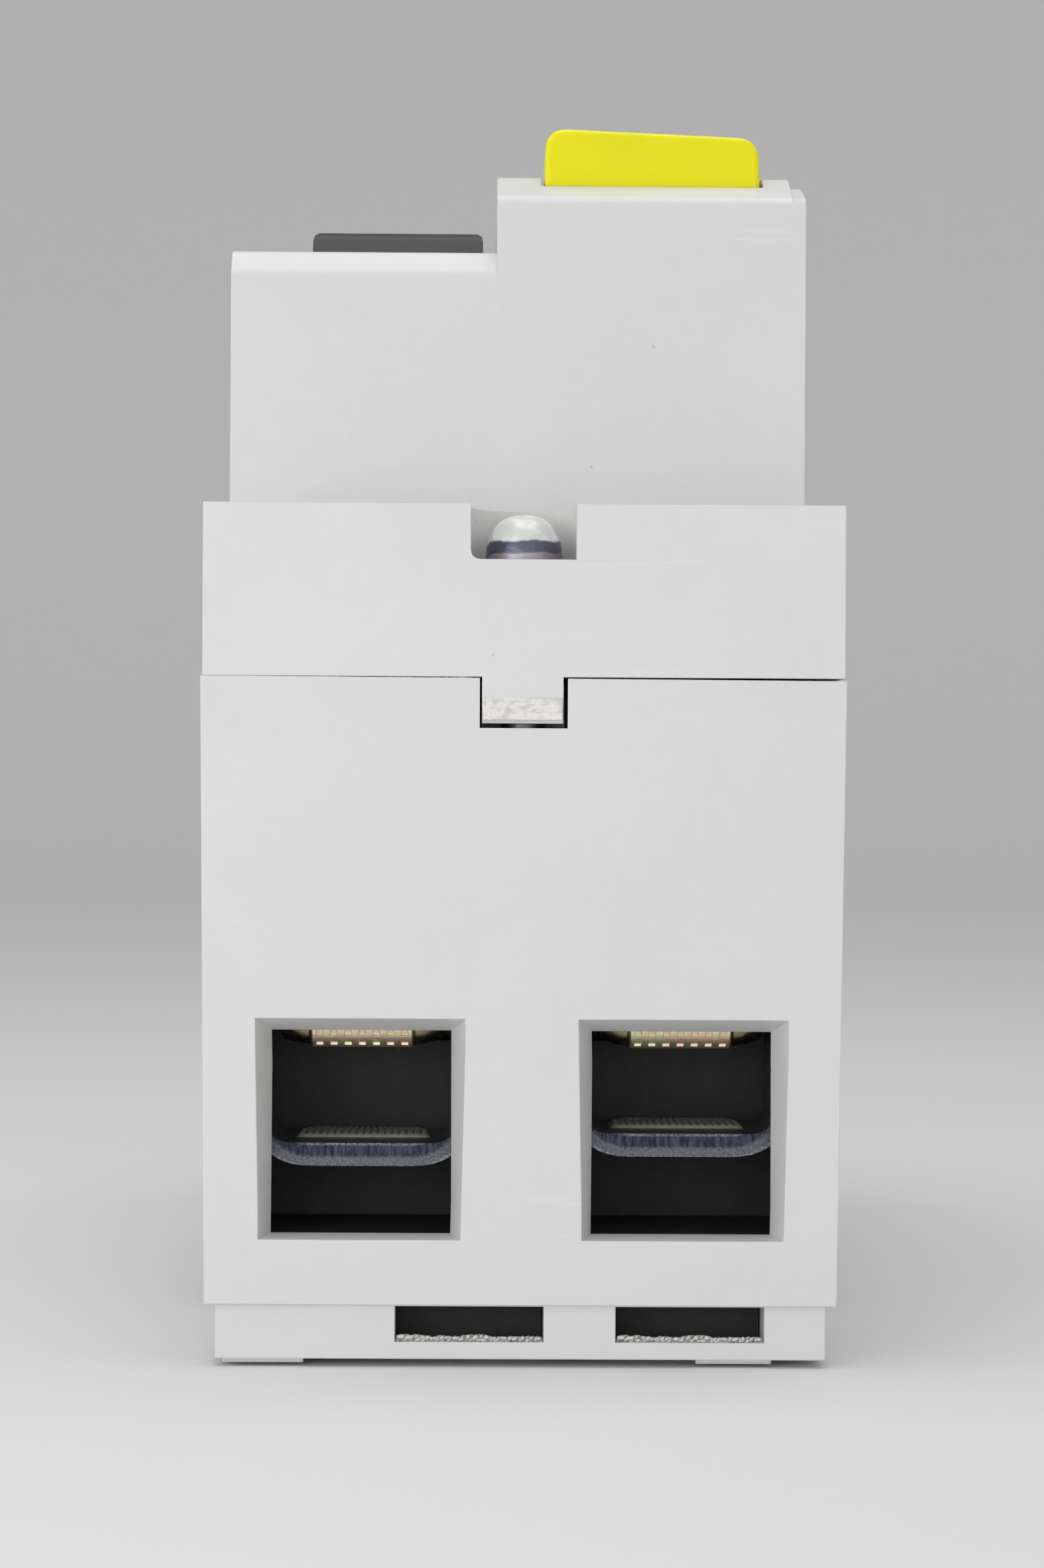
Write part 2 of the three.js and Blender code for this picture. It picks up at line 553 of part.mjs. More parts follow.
// Each pole's flexible lead runs from its moving contact through the ring to its load plate.
const LEAD_LEFT = [
  [-9, 1.75, 16.5], [-8.6, 4, 16.7], [-6, 6.7, 17.2], [-3.2, 8.9, 17.5], [1.2, 11, 17.5], [2.6, 13.5, 17.5],
  [2.6, 19.5, 17.4], [0.8, 23, 16.5], [-3.4, 25.4, 15.7], [-9.4, 26.4, 15.7],
];
const LEAD_RIGHT = [
  [9, 1.75, 16.5], [8.9, 4.8, 16.9], [7.6, 9, 17.4], [6.4, 13, 17.5],
  [6.4, 19.5, 17.4], [7.4, 23, 16.4], [8.8, 25.6, 15.7], [9, 27.6, 15.7],
];

// ---------------------------------------------------------------- test circuit
function testButton() {
  const { half, depth, left, right } = BUTTON;
  const face = [[-half, 65.4], [half, 65.4], [half - 0.1, right, 1.4], [0.1 - half, left, 1.4]];
  const cap = prismY(face, -depth, depth, 6);
  const flange = box(-half - 0.8, half + 0.8, -depth, depth + 0.8, 65.2, 66.3);
  return join(cap, flange, rodZ(1.4, 57.4, 65.6, 0, 0, SMALL_ROUND));
}

function testBracket() {
  const { x, y } = BUTTON;
  const plate = box(1.2, 15.2, y - 3.9, -4.4, 53.4, 54.6);
  const wall = box(x - 4.5, x + 4.5, y - 3.9, y - 2.9, 53.4, 60.6);
  const shelf = box(x - 4.5, x + 4.5, y - 3.9, y + 3.9, 59.6, 60.6);
  const clamp = box(x - 1.9, x + 1.9, -7, -4.4, 54.5, 56.7);
  return cut(join(plate, wall, shelf, clamp), rodZ(1.8, 58, 62, x, y, SMALL_ROUND));
}
const testBlade = () => box(BUTTON.x - 1.5, BUTTON.x + 1.5, -18.8, -4.8, 56.75, 57.1);
const testStud = () => rodZ(1, 54.65, 55.2, BUTTON.x, -17.6, SMALL_ROUND);

function testResistor() {
  const body = new THREE.CapsuleGeometry(1.4, 5, 3, 12).translate(3.4, -12.5, 57);
  const lead = new THREE.CylinderGeometry(0.35, 0.35, 12.4, 8).translate(3.4, -12.5, 57);
  const legs = [-18.5, -6.5].map((y) => rodZ(0.35, 54.7, 57.2, 3.4, y, 8));
  return join(body, lead, ...legs);
}

// ---------------------------------------------------------------- rail clip
function railClip() {
  const inner = RAIL_HALF - 0.2;
  const flange = box(-5.9, 5.9, inner, 41.9, 2, SEAT_Z - 0.4);
  const tongue = box(-4.3, 4.3, inner, 41.9, 0.4, 2.2);
  const hookSide = [[inner - 1.1, 0.4], [inner - 1.6, 1.5], [inner + 1, 1.7], [inner + 1, 0.4]];
  const hook = prismX(hookSide, -4.3, 4.3);
  const relief = box(-1.8, 1.8, 22, 33.7, -1, 4);
  const driverSlot = box(-2.6, 2.6, 37.6, 39.4, -1, 4);
  return cut(join(flange, tongue, hook), relief, driverSlot);
}

// ---------------------------------------------------------------- assembly
const breaker = new THREE.Group();
const add = (...meshes) => breaker.add(...meshes);

add(named("base_housing", baseHousing(), FINISH.white));
add(named("cover_housing", coverHousing(), FINISH.white));
["left", "right"].forEach((side, i) => {
  const [x0, x1] = HOOK_WINDOWS[i];
  const plug = box(x0 + 0.05, x1 - 0.05, PLUG.front, PLUG.back, PAD_HEIGHT + 0.05, SEAT_Z - 0.15);
  add(named(`window_plug_${side}`, plug, FINISH.dark));
});
add(named("rating_label", box(0.3, 15.6, -9.6, 19.4, 0, 0.2), FINISH.label, [0, 0, HIGH_FACE_Z + 0.01]));
add(named("mechanism_frame", mechanismFrame(), FINISH.steel));

const ENDS = [
  { end: "line", turn: 0, rest: CAGE_REST },
  { end: "load", turn: Math.PI, rest: CAGE_REST_LOAD },
];
for (const { end, turn, rest } of ENDS) {
  const group = new THREE.Group();
  group.rotation.z = turn;
  group.add(named(`${end}_terminal_liner`, terminalLiner(), FINISH.dark));
  group.add(named(`${end}_cover_screw`, coverScrew(), FINISH.steel, [0, -COVER_SCREW.y, 0]));
  for (const side of ["left", "right"]) {
    const x = (side === "left" ? -1 : 1) * (turn ? -1 : 1) * TERMINAL_X;
    group.add(named(`${end}_cage_${side}`, terminalCage(), FINISH.zinc, [x, -TERMINAL_Y, rest[side]]));
    group.add(named(`${end}_terminal_screw_${side}`, terminalScrew(), FINISH.zinc, [x, -TERMINAL_Y, 0]));
    if (turn) group.add(named(`load_plate_${side}`, terminalPlate(25.2), FINISH.gold, [x, 0, 0]));
  }
  add(group);
}

const moving = new THREE.Group();
moving.position.set(0, CARRIER.y, CARRIER.z);
moving.rotation.x = -CARRIER.openAngle * DEGREE;
moving.add(named("contact_carrier", contactCarrier(), FINISH.dark));
for (const [side, x, lead] of [["left", -TERMINAL_X, LEAD_LEFT], ["right", TERMINAL_X, LEAD_RIGHT]]) {
  moving.add(named(`moving_contact_${side}`, movingContact(), FINISH.copper, [x, 0, 0]));
  moving.add(named(`moving_contact_tip_${side}`, movingContactTip(), FINISH.silver, [x, 0, 0]));
  moving.add(named(`contact_spring_${side}`, coil(1.6, 0.28, 0.9, 5, 4), FINISH.steel, [x, -7.9, 0]));
  add(named(`fixed_contact_${side}`, fixedContact(), FINISH.gold, [x, 0, 0]));
  add(named(`fixed_contact_tip_${side}`, fixedContactTip(), FINISH.silver, [x, 0, 0]));
  add(named(`arc_chute_${side}`, arcChute(), FINISH.cream, [x, 0, 0]));
  add(named(`pole_lead_${side}`, wire(lead, 1.5, 20), side === "left" ? FINISH.blue : FINISH.brown));
}
add(moving);
add(named("carrier_pivot_pin", rodX(1.2, -15.8, 15.8), FINISH.steel, [0, CARRIER.y, CARRIER.z]));

const toggle = named("toggle_handle", toggleHandle(), FINISH.grey, [TOGGLE.x, 0, TOGGLE.z]);
toggle.rotation.x = -TOGGLE.offAngle * DEGREE;
add(toggle, named("toggle_pin", rodX(1.2, -15.4, -0.6), FINISH.steel, [0, 0, TOGGLE.z]));
const crankAt = new THREE.Vector3(0, CRANK.y, CRANK.z).applyEuler(toggle.rotation);
const link = named("toggle_link", toggleLink(), FINISH.steel, [0, crankAt.y, TOGGLE.z + crankAt.z]);
link.rotation.x = -LINK_OFF_ANGLE * DEGREE;
add(link);
const toggleSpring = coil(3.75, 0.25, 0, 3, 4, 12).rotateY(Math.PI / 2);
add(named("toggle_spring", toggleSpring, FINISH.steel, [TOGGLE.x + 1, 0, TOGGLE.z]));
add(named("trip_lever", tripLever(), FINISH.cream, [0, TRIP_PIVOT.y, TRIP_PIVOT.z]));
add(named("trip_lever_pin", rodX(1, -15.4, -0.6), FINISH.steel, [0, TRIP_PIVOT.y, TRIP_PIVOT.z]));

add(named("trip_relay_case", relayCase(), FINISH.dark));
add(named("relay_plunger", relayPlunger(), FINISH.steel, [PLUNGER.x, PLUNGER.y, 0]));
add(named("transformer_ring", transformerRing(), FINISH.blue, [RING.x, (RING.y0 + RING.y1) / 2, RING.z]));

add(named("test_button", testButton(), FINISH.yellow, [BUTTON.x, BUTTON.y, 0]));
add(named("test_button_spring", coil(2.2, 0.25, 60.7, 65.1, 4), FINISH.steel, [BUTTON.x, BUTTON.y, 0]));
add(named("test_bracket", testBracket(), FINISH.cream));
add(named("test_blade", testBlade(), FINISH.gold));
add(named("test_contact_stud", testStud(), FINISH.silver));
add(named("test_resistor", testResistor(), FINISH.blue));
add(named("din_clip", railClip(), FINISH.white));

export default breaker;
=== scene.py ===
# %% [markdown]
# # A two-module residual current breaker
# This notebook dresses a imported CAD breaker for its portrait: a white-grey moulded body with a stepped
# nose, a yellow test button, a dark toggle, and two wire entries with zinc cages and pale gold plates.
# Everything is in metres in the CAD's own frame, +Z up and the wire entries of the line end facing -Y.

# %% Load the frame
import json
import math
import random
import bmesh
import bpy
from mathutils import Matrix, Vector, noise


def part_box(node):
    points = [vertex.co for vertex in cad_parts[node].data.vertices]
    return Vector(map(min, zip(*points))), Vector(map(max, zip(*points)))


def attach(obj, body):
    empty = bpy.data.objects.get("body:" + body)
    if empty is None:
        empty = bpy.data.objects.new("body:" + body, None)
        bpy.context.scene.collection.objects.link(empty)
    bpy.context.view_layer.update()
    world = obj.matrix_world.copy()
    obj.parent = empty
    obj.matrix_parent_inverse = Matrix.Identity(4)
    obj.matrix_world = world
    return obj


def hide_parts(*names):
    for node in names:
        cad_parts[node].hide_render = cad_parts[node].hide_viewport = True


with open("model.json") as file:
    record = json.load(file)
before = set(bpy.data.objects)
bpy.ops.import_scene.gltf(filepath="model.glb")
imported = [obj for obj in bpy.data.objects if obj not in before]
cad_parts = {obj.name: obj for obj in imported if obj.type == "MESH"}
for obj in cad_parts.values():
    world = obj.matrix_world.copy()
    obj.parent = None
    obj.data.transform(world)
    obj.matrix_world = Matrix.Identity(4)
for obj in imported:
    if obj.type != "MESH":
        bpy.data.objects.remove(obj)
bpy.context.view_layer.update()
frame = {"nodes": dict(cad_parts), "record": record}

MM = 0.001

# %% [markdown]
# ## Shader maths
# A material is a small program. Writing its sums as Python expressions keeps it readable, so one class
# wraps a socket and turns +, - and * into Math nodes. A second class makes any other node.

# %% A socket that does sums, and a material that makes nodes
class Value:
    """A node's output socket that can be used in a sum."""

    def __init__(self, finish, socket):
        self.finish, self.socket = finish, socket

    def sum(self, operation, *others):
        settings = {"operation": operation}
        return self.finish.node("Math", settings, **{f"_{i}": v for i, v in enumerate((self, *others))})

    def __add__(self, other): return self.sum("ADD", other)
    def __sub__(self, other): return self.sum("SUBTRACT", other)
    def __mul__(self, other): return self.sum("MULTIPLY", other)
    def __rsub__(self, other): return self.finish.node("Math", {"operation": "SUBTRACT"}, _0=other, _1=self)
    __radd__, __rmul__ = __add__, __mul__

    def power(self, exponent): return self.sum("POWER", exponent)
    def above(self, edge, width):
        """0 below edge, 1 above edge + width, smooth between."""
        settings = {"interpolation_type": "SMOOTHSTEP"}
        return self.finish.node("MapRange", settings, Value=self, From_Min=edge, From_Max=edge + width)
    def below(self, edge, width): return 1 - self.above(edge, width)


class Finish:
    """One material: nodes are made with node(), and named sockets take values or links."""

    def __init__(self, name, **surface):
        self.material = bpy.data.materials.new(name)
        self.material.use_nodes = True
        self.tree = self.material.node_tree
        self.shader = self.tree.nodes["Principled BSDF"]
        coordinates = self.tree.nodes.new("ShaderNodeTexCoord")
        self.place = Value(self, coordinates.outputs["Object"])
        self.set(**surface)

    def link(self, socket, value):
        if isinstance(value, Value):
            self.tree.links.new(value.socket, socket)
        elif isinstance(value, tuple) and len(value) == 3 and socket.type == "RGBA":
            socket.default_value = (*value, 1)
        else:
            socket.default_value = value

    def set(self, **surface):
        for key, value in surface.items():
            self.link(self.shader.inputs[key.replace("_", " ")], value)

    def node(self, kind, settings=None, out=0, **inputs):
        made = self.tree.nodes.new("ShaderNode" + kind)
        for key, value in (settings or {}).items():
            if key != "stops":
                setattr(made, key, value)
                continue
            elements = made.color_ramp.elements
            while len(elements) < len(value):
                elements.new(0.5)
            for element, (position, colour) in zip(elements, value):
                element.position, element.color = position, (*linear(*colour), 1)
        for key, value in inputs.items():
            index = key[1:]
            socket = made.inputs[int(index)] if index.isdigit() else made.inputs[key.replace("_", " ")]
            self.link(socket, value)
        return Value(self, made.outputs[out])

    def axis(self, letter):
        return self.node("SeparateXYZ", out="XYZ".index(letter), Vector=self.place)

    def noise(self, per_mm, detail=2.0, roughness=0.5, stretch=(1, 1, 1), distortion=0.0):
        at = self.node("Mapping", Vector=self.place, Scale=Vector(stretch))
        return self.node("TexNoise", Vector=at, Scale=per_mm / MM, Detail=detail, Roughness=roughness,
                         Distortion=distortion)

    def mix(self, amount, first, second):
        """The first colour where amount is 0, the second where it is 1."""
        return self.node("Mix", {"data_type": "RGBA"}, out=2, _0=amount, _6=first, _7=second)

    def bump(self, height, depth_mm, after=None):
        inputs = {"Height": height, "Distance": depth_mm * MM, "Strength": 1.0}
        if after is not None:
            inputs["Normal"] = after
        return self.node("Bump", **inputs)

    def attribute(self, name):
        return self.node("Attribute", {"attribute_name": name}, out="Fac")

    def rounded(self, radius_mm):
        """Shading that rounds a sharp edge, where the mesh keeps it."""
        return self.node("Bevel", {"samples": 6}, Radius=radius_mm * MM)


def linear(*srgb):
    """A colour of 0 to 255 as the shader wants it."""
    return tuple((c / 255 / 12.92) if c <= 10 else ((c / 255 + 0.055) / 1.055) ** 2.4 for c in srgb)


print("shader helpers ready")

# %% [markdown]
# ## Moulded housing plastic
# The housing is a filled thermoplastic with a fine spark-eroded texture. Up close it is not one grey: it has
# faint cloudy flow, dark specks of burnt material, hairline scuffs that catch light, and whiter worn edges.
# The texture is a fine bump, the clouds change the colour by a percent or two, and the specks are the middles
# of the cells in a cell pattern. Where a piece carries the attribute "worn", the plastic is torn and chalky,
# and painted shade darkens the creases of the tear.

# %% Housing plastics
SPECK_BROWN, SCUFF_WHITE = (122, 112, 92), (246, 247, 247)
# The torn plastic's chalky tone, and the painted shade in the creases of the tear.
TORN_CREASE_SHADE, TORN_PALE = (206, 202, 194), (231, 229, 222)


def moulded(name, colour, grain=1.0, roughness=0.46):
    finish = Finish(name, Roughness=roughness, IOR=1.49)
    clouds = finish.noise(0.09, detail=3, distortion=0.6)
    mottle = finish.noise(0.9, detail=4, roughness=0.65)
    fine = finish.noise(7.0, detail=3, roughness=0.7)
    base = finish.mix(clouds.above(0.35, 0.3), linear(*(c - 2 for c in colour)), linear(*colour))
    base = finish.mix(mottle.above(0.45, 0.25) * 0.22, base, linear(*(min(c + 5, 255) for c in colour)))
    cells = {"Vector": finish.place, "Scale": 0.45 / MM, "Randomness": 1.0}
    specks = finish.node("TexVoronoi", {"feature": "F1"}, **cells)
    rare = finish.noise(0.31, detail=0).above(0.66, 0.03)
    dirt = specks.below(0.045, 0.03) * rare
    base = finish.mix(dirt * 0.5, base, linear(*SPECK_BROWN))
    scuffs = finish.noise(1.6, detail=2, stretch=(0.06, 0.3, 1.4), distortion=0.2).above(0.66, 0.04)
    where = finish.noise(0.07, detail=1).above(0.5, 0.15)
    scuff_mask = scuffs * where
    base = finish.mix(scuff_mask * 0.10, base, linear(*SCUFF_WHITE))
    worn = finish.attribute("worn")
    torn = finish.noise(2.6, detail=4, roughness=0.7, stretch=(0.6, 1, 1.3))
    # Painted shade: the torn face is darker in its creases, where its bump dips.
    torn_colour_with_crease_shade = finish.mix(torn.above(0.36, 0.2), linear(*TORN_CREASE_SHADE), linear(*TORN_PALE))
    base = finish.mix(worn, base, torn_colour_with_crease_shade)
    height = fine * 0.6 + mottle * 0.4 - scuff_mask * 0.4 + worn * (torn * 9)
    finish.set(
        Base_Color=base,
        Roughness=fine * 0.10 + (roughness - 0.05) + scuff_mask * 0.08,
        Normal=finish.bump(height, 0.012 * grain, after=finish.rounded(0.09)),
        Subsurface_Weight=0.04, Subsurface_Radius=(0.9 * MM, 0.8 * MM, 0.7 * MM), Subsurface_Scale=1.0,
    )
    return finish


BASE_PLASTIC = moulded("base plastic", (216, 216, 215), grain=1.0)
COVER_PLASTIC = moulded("cover plastic", (218, 218, 217), grain=0.9)
CLIP_PLASTIC = moulded("clip plastic", (210, 210, 208), grain=0.8, roughness=0.5)
BRACKET_PLASTIC = moulded("bracket plastic", (206, 197, 172), grain=0.8, roughness=0.55)
print("housing plastics:", BASE_PLASTIC.material.name, COVER_PLASTIC.material.name)

# %% [markdown]
# ## Glossy and dark plastics
# The button is a bright yellow polished moulding and the toggle a dark grey one. Inside, the terminal
# chambers, the contact carrier and the relay case are dull dark thermoset that soaks up light. The liner's
# near-black thermoset also plugs the foot's windows, a dark piece that stands for the shade behind them.

# %% Coloured plastics
def polished(name, colour, roughness, depth=0.003):
    finish = Finish(name, IOR=1.5, Specular_IOR_Level=0.35)
    clouds = finish.noise(0.25, detail=2)
    fine = finish.noise(5.0, detail=3)
    darker = linear(*(c * 0.93 for c in colour))
    finish.set(
        Base_Color=finish.mix(clouds.above(0.4, 0.3) * 0.3, linear(*colour), darker),
        Roughness=fine * 0.08 + roughness,
        Normal=finish.bump(fine * 0.5 + finish.noise(0.8, detail=1), depth, after=finish.rounded(0.12)),
        Coat_Weight=0.1, Coat_Roughness=0.15,
    )
    return finish


def thermoset(name, colour, roughness=0.55):
    finish = Finish(name)
    fine = finish.noise(4.0, detail=4, roughness=0.7)
    streaks = finish.noise(0.5, detail=2, stretch=(1, 1, 0.25))
    lighter = linear(*(c + 9 for c in colour))
    dust = finish.noise(6.0, detail=2).above(0.69, 0.03) * 0.12
    base = finish.mix(streaks.above(0.4, 0.3) * 0.5, linear(*colour), lighter)
    finish.set(
        Base_Color=finish.mix(dust, base, linear(120, 118, 110)),
        Roughness=fine * 0.15 + (roughness - 0.07),
        Normal=finish.bump(fine, 0.012, after=finish.rounded(0.1)),
    )
    return finish


BUTTON_PLASTIC = polished("button plastic", (237, 230, 2), 0.2)
TOGGLE_PLASTIC = polished("toggle plastic", (45, 48, 51), 0.42)
# Painted shade: this near-black also fills the foot's windows, where there is only shade.
LINER_AND_WINDOW_SHADE_PLASTIC = thermoset("liner plastic", (31, 32, 31), 0.6)
CARRIER_PLASTIC = thermoset("carrier plastic", (52, 47, 42))
RELAY_PLASTIC = thermoset("relay plastic", (20, 21, 24), 0.6)
print("coloured plastics ready")

# %% [markdown]
# ## Metals
# The plain metals share one recipe: a colour that drifts, and a roughness that drifts with it. Three more
# have their own. Zinc plate is bluish grey with a cloudy bloom, and its sheared ends are rough: a dark
# burnished band with upright streaks where the punch entered, and a torn, sparkling band below, with a
# painted highlight along both edges of each end. The contact plates are brass with a pale gold passivation
# that shows rainbow tints; off the coined pad they are painted darker, as shade on the wings. The cover
# screws are sealed: white lacquer on top that also stands for a painted reflection of the light above,
# and painted reflections below it, dark at the waist and lilac at the foot.

# %% Metal finishes
def plated(name, colour, tint, roughness=0.3, grain=(1, 1, 1), depth=0.004, sparkle=0.0):
    finish = Finish(name, Metallic=1.0)
    bloom = finish.noise(0.5, detail=4, roughness=0.6)
    fine = finish.noise(5.0, detail=4, roughness=0.7, stretch=grain)
    base = finish.mix(bloom.above(0.35, 0.35), linear(*colour), linear(*tint))
    rough = bloom * 0.18 + fine * 0.14 + (roughness - 0.14)
    height = fine
    if sparkle:
        pits = finish.node("TexVoronoi", {"feature": "F1"}, Vector=finish.place, Scale=6.5 / MM)
        base = finish.mix(pits.below(0.25, 0.3) * sparkle, base, linear(*(c * 0.35 for c in colour)))
        height = fine + pits * sparkle
    normal = finish.bump(height, depth, after=finish.rounded(0.06))
    finish.set(Base_Color=base, Roughness=rough, Normal=normal)
    return finish


# A cage's floor thickness, the outer radius of its lower corners and half its width, in millimetres.
CAGE_FLOOR, CAGE_CORNER = 1.35, 3.4
CAGE_HALF = (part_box("line_cage_left")[1][0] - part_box("line_cage_left")[0][0]) / 2 / MM


def sheared_zinc(name):
    """Zinc sheet whose end faces, seen along Y, are sheared: dark burnished streaks above torn grains, and a
    painted highlight along both edges.

    The attributes "cage x" and "cage z" are a point's place in its cage. They give its distance in from the
    outline, a box with two rounded lower corners, and so its depth: 1 on the outside, 0 on the inside.
    """
    finish = Finish(name, Metallic=1.0)
    bloom = finish.noise(0.45, detail=4, roughness=0.6)
    streaks = finish.noise(4.0, detail=4, stretch=(1, 1, 0.16), roughness=0.75)
    grains = finish.noise(7.0, detail=4, roughness=0.85)
    facing = finish.node("SeparateXYZ", out=1, Vector=finish.node("NewGeometry", out="Normal"))
    end = facing.sum("ABSOLUTE").above(0.7, 0.1)
    flat = finish.mix(bloom.above(0.35, 0.35), linear(104, 110, 114), linear(140, 146, 146))
    torn = finish.mix(grains.above(0.36, 0.3), linear(82, 85, 92), linear(126, 128, 134))
    burnished = finish.mix(streaks.above(0.36, 0.3), linear(38, 41, 53), linear(80, 84, 98))
    side = (finish.attribute("cage x").sum("ABSOLUTE") - (CAGE_HALF - CAGE_CORNER)).sum("MAXIMUM", 0)
    below = (CAGE_CORNER - finish.attribute("cage z")).sum("MAXIMUM", 0)
    inwards = CAGE_CORNER - (side * side + below * below).power(0.5)
    depth = inwards * (-1 / CAGE_FLOOR) + 1 + (grains - 0.5) * 0.25
    edge = finish.mix(depth.above(0.5, 0.2), burnished, torn)
    # Painted highlight: a pale colour along the inner and outer edges of each sheared end, broken by the
    # grains.
    painted_edge_highlight = depth.below(0.1, 0.06) + depth.above(0.95, 0.05)
    edge = finish.mix(painted_edge_highlight * (grains.above(0.42, 0.2) * 0.45), edge, linear(206, 208, 216))
    knurled = finish.attribute("knurled")
    metal = finish.mix(end, flat, edge)
    finish.set(
        Base_Color=finish.mix(knurled, metal, linear(176, 182, 166)),
        Metallic=1 - knurled * 0.5,
        Roughness=bloom * 0.15 + 0.26 + end * (grains * 0.3),
        Normal=finish.bump(grains * end + streaks * 0.3, 0.02, after=finish.rounded(0.05)),
    )
    return finish


def passivated_gold(name):
    """Pale gold over brass: the film's thickness drifts, so its colour runs from straw to rose to green."""
    finish = Finish(name, Metallic=1.0)
    film = finish.noise(0.8, detail=4, roughness=0.7, distortion=0.8)
    fine = finish.noise(6.0, detail=3, roughness=0.7)
    stops = [(0.30, (238, 224, 184)), (0.42, (250, 236, 202)), (0.50, (246, 212, 198)),
             (0.57, (236, 234, 188)), (0.66, (252, 246, 220)), (0.78, (226, 218, 212))]
    tints = finish.node("ValToRGB", {"stops": stops}, Fac=film)
    coined = finish.attribute("coined")
    finish.set(
        # Painted shade: off the coined pad, on the wings and the strips behind, the colour is a darker brass.
        Base_Color=finish.mix(coined, linear(150, 138, 112), tints),
        Roughness=fine * 0.16 + film * 0.1 + 0.08 + coined * 0.22,
        Normal=finish.bump(fine, 0.008, after=finish.rounded(0.04)),
    )
    return finish


# Where the painted white top and the painted lilac reflection at the foot begin.
LACQUER_EDGE, HOUSING_REFLECTION_EDGE = 46.32, 45.66  # heights in the part, in millimetres


def sealed_screw(name):
    """A polished domed head: sealing lacquer over the top, painted white also as the reflection of the light
    above, and painted reflections below it: dark at the waist, lilac at its foot.
    """
    finish = Finish(name)
    drift = finish.noise(0.5, detail=3)
    height = finish.axis("Z") * (1 / MM) + drift * 0.9
    # The white top is lacquer that also stands for a painted reflection of the light above.
    lacquer = height.above(LACQUER_EDGE, 0.16)
    foot = height.below(HOUSING_REFLECTION_EDGE, 0.12)
    # Painted reflections on the metal: dark at the waist, lilac from the housing at the foot.
    metal = finish.mix(foot, linear(104, 108, 122), linear(168, 162, 172))
    cloud = finish.noise(1.6, detail=3)
    white = finish.mix(cloud.above(0.4, 0.3), linear(208, 210, 206), linear(228, 229, 224))
    finish.set(
        Base_Color=finish.mix(lacquer, metal, white),
        Metallic=1 - lacquer,
        Roughness=drift * 0.15 + 0.26 + foot * 0.1,
        Normal=finish.bump(cloud, 0.05),
        Coat_Weight=0.3, Coat_Roughness=0.2,
    )
    return finish


CAGE_ZINC = sheared_zinc("cage zinc")
SCREW_ZINC = plated("screw zinc", (150, 154, 160), (178, 181, 186), 0.3, sparkle=0.2)
COVER_SCREW_STEEL = sealed_screw("cover screw steel")
FRAME_STEEL = plated("frame steel", (166, 168, 172), (146, 149, 154), 0.34, grain=(1, 0.1, 1))
PIN_STEEL = plated("pin steel", (190, 192, 195), (168, 170, 174), 0.22, grain=(0.1, 1, 1))
SPRING_STEEL = plated("spring steel", (142, 145, 150), (120, 123, 128), 0.28)
PLATE_GOLD = passivated_gold("plate gold")
CONTACT_COPPER = plated("contact copper", (198, 124, 88), (176, 102, 74), 0.3, grain=(1, 0.12, 1))
CONTACT_SILVER = plated("contact silver", (222, 222, 218), (200, 198, 190), 0.2, sparkle=0.15)
print("metal finishes ready")

# %% [markdown]
# ## Fibre, leads, tape, film and lacquer
# The arc chutes are steel plates in grey-brown fibre, the leads are silicone-sleeved flex with a faint
# weave, the transformer ring is wrapped in tape, and the resistor has coloured value bands.

# %% Soft and coated finishes
def striped(name, colour, stripe, along, per_mm, share=0.5, roughness=0.6, depth=0.03):
    """Stripes across one axis: the first share of each turn is the ground, most of the rest the stripe."""
    finish = Finish(name)
    coordinate = finish.axis(along) * (per_mm / MM)
    turn = coordinate.sum("FRACT")
    mask = turn.above(share, 0.08) * turn.below(0.92, 0.08)
    fine = finish.noise(4.0, detail=4)
    finish.set(
        Base_Color=finish.mix(mask, linear(*colour), linear(*stripe)),
        Roughness=fine * 0.15 + (roughness - 0.07),
        Normal=finish.bump(mask + fine * 0.4, depth, after=finish.rounded(0.06)),
    )
    return finish


CHUTE_FIBRE = striped("chute fibre", (148, 132, 104), (128, 130, 134), "Z", 0.4545, share=0.62)
LEAD_BLUE = striped("blue lead", (30, 62, 130), (38, 74, 148), "Y", 1.2, roughness=0.5)
LEAD_BROWN = striped("brown lead", (92, 54, 34), (108, 66, 42), "Y", 1.2, roughness=0.5)
RING_TAPE = striped("ring tape", (44, 84, 120), (58, 102, 142), "X", 0.42, share=0.12, roughness=0.4)
RESISTOR_BODY = striped("resistor lacquer", (70, 122, 164), (64, 44, 36), "Y", 0.62,
                        share=0.66, roughness=0.25)
LABEL_FILM = moulded("label film", (226, 228, 230), grain=0.25, roughness=0.3)
print("coated finishes ready")

# %% [markdown]
# ## Dressing the CAD nodes
# Each CAD node keeps its mesh and takes the finish of its record slot. Pieces that need softer edges or
# finer shapes are remade below and hide their node.

# %% Finish of each slot
SLOT_FINISH = {
    "base_plastic": BASE_PLASTIC, "cover_plastic": COVER_PLASTIC, "clip_plastic": CLIP_PLASTIC,
    "toggle_plastic": TOGGLE_PLASTIC, "button_plastic": BUTTON_PLASTIC, "liner_plastic": LINER_AND_WINDOW_SHADE_PLASTIC,
    "carrier_plastic": CARRIER_PLASTIC, "relay_plastic": RELAY_PLASTIC, "bracket_plastic": BRACKET_PLASTIC,
    "chute_fibre": CHUTE_FIBRE, "label_film": LABEL_FILM, "cage_zinc": CAGE_ZINC, "screw_zinc": SCREW_ZINC,
    "cover_screw_steel": COVER_SCREW_STEEL, "frame_steel": FRAME_STEEL, "pin_steel": PIN_STEEL,
    "spring_steel": SPRING_STEEL, "plate_brass": PLATE_GOLD, "contact_copper": CONTACT_COPPER,
    "contact_silver": CONTACT_SILVER, "lead_blue": LEAD_BLUE, "lead_brown": LEAD_BROWN,
    "ring_tape": RING_TAPE, "resistor_body": RESISTOR_BODY,
}
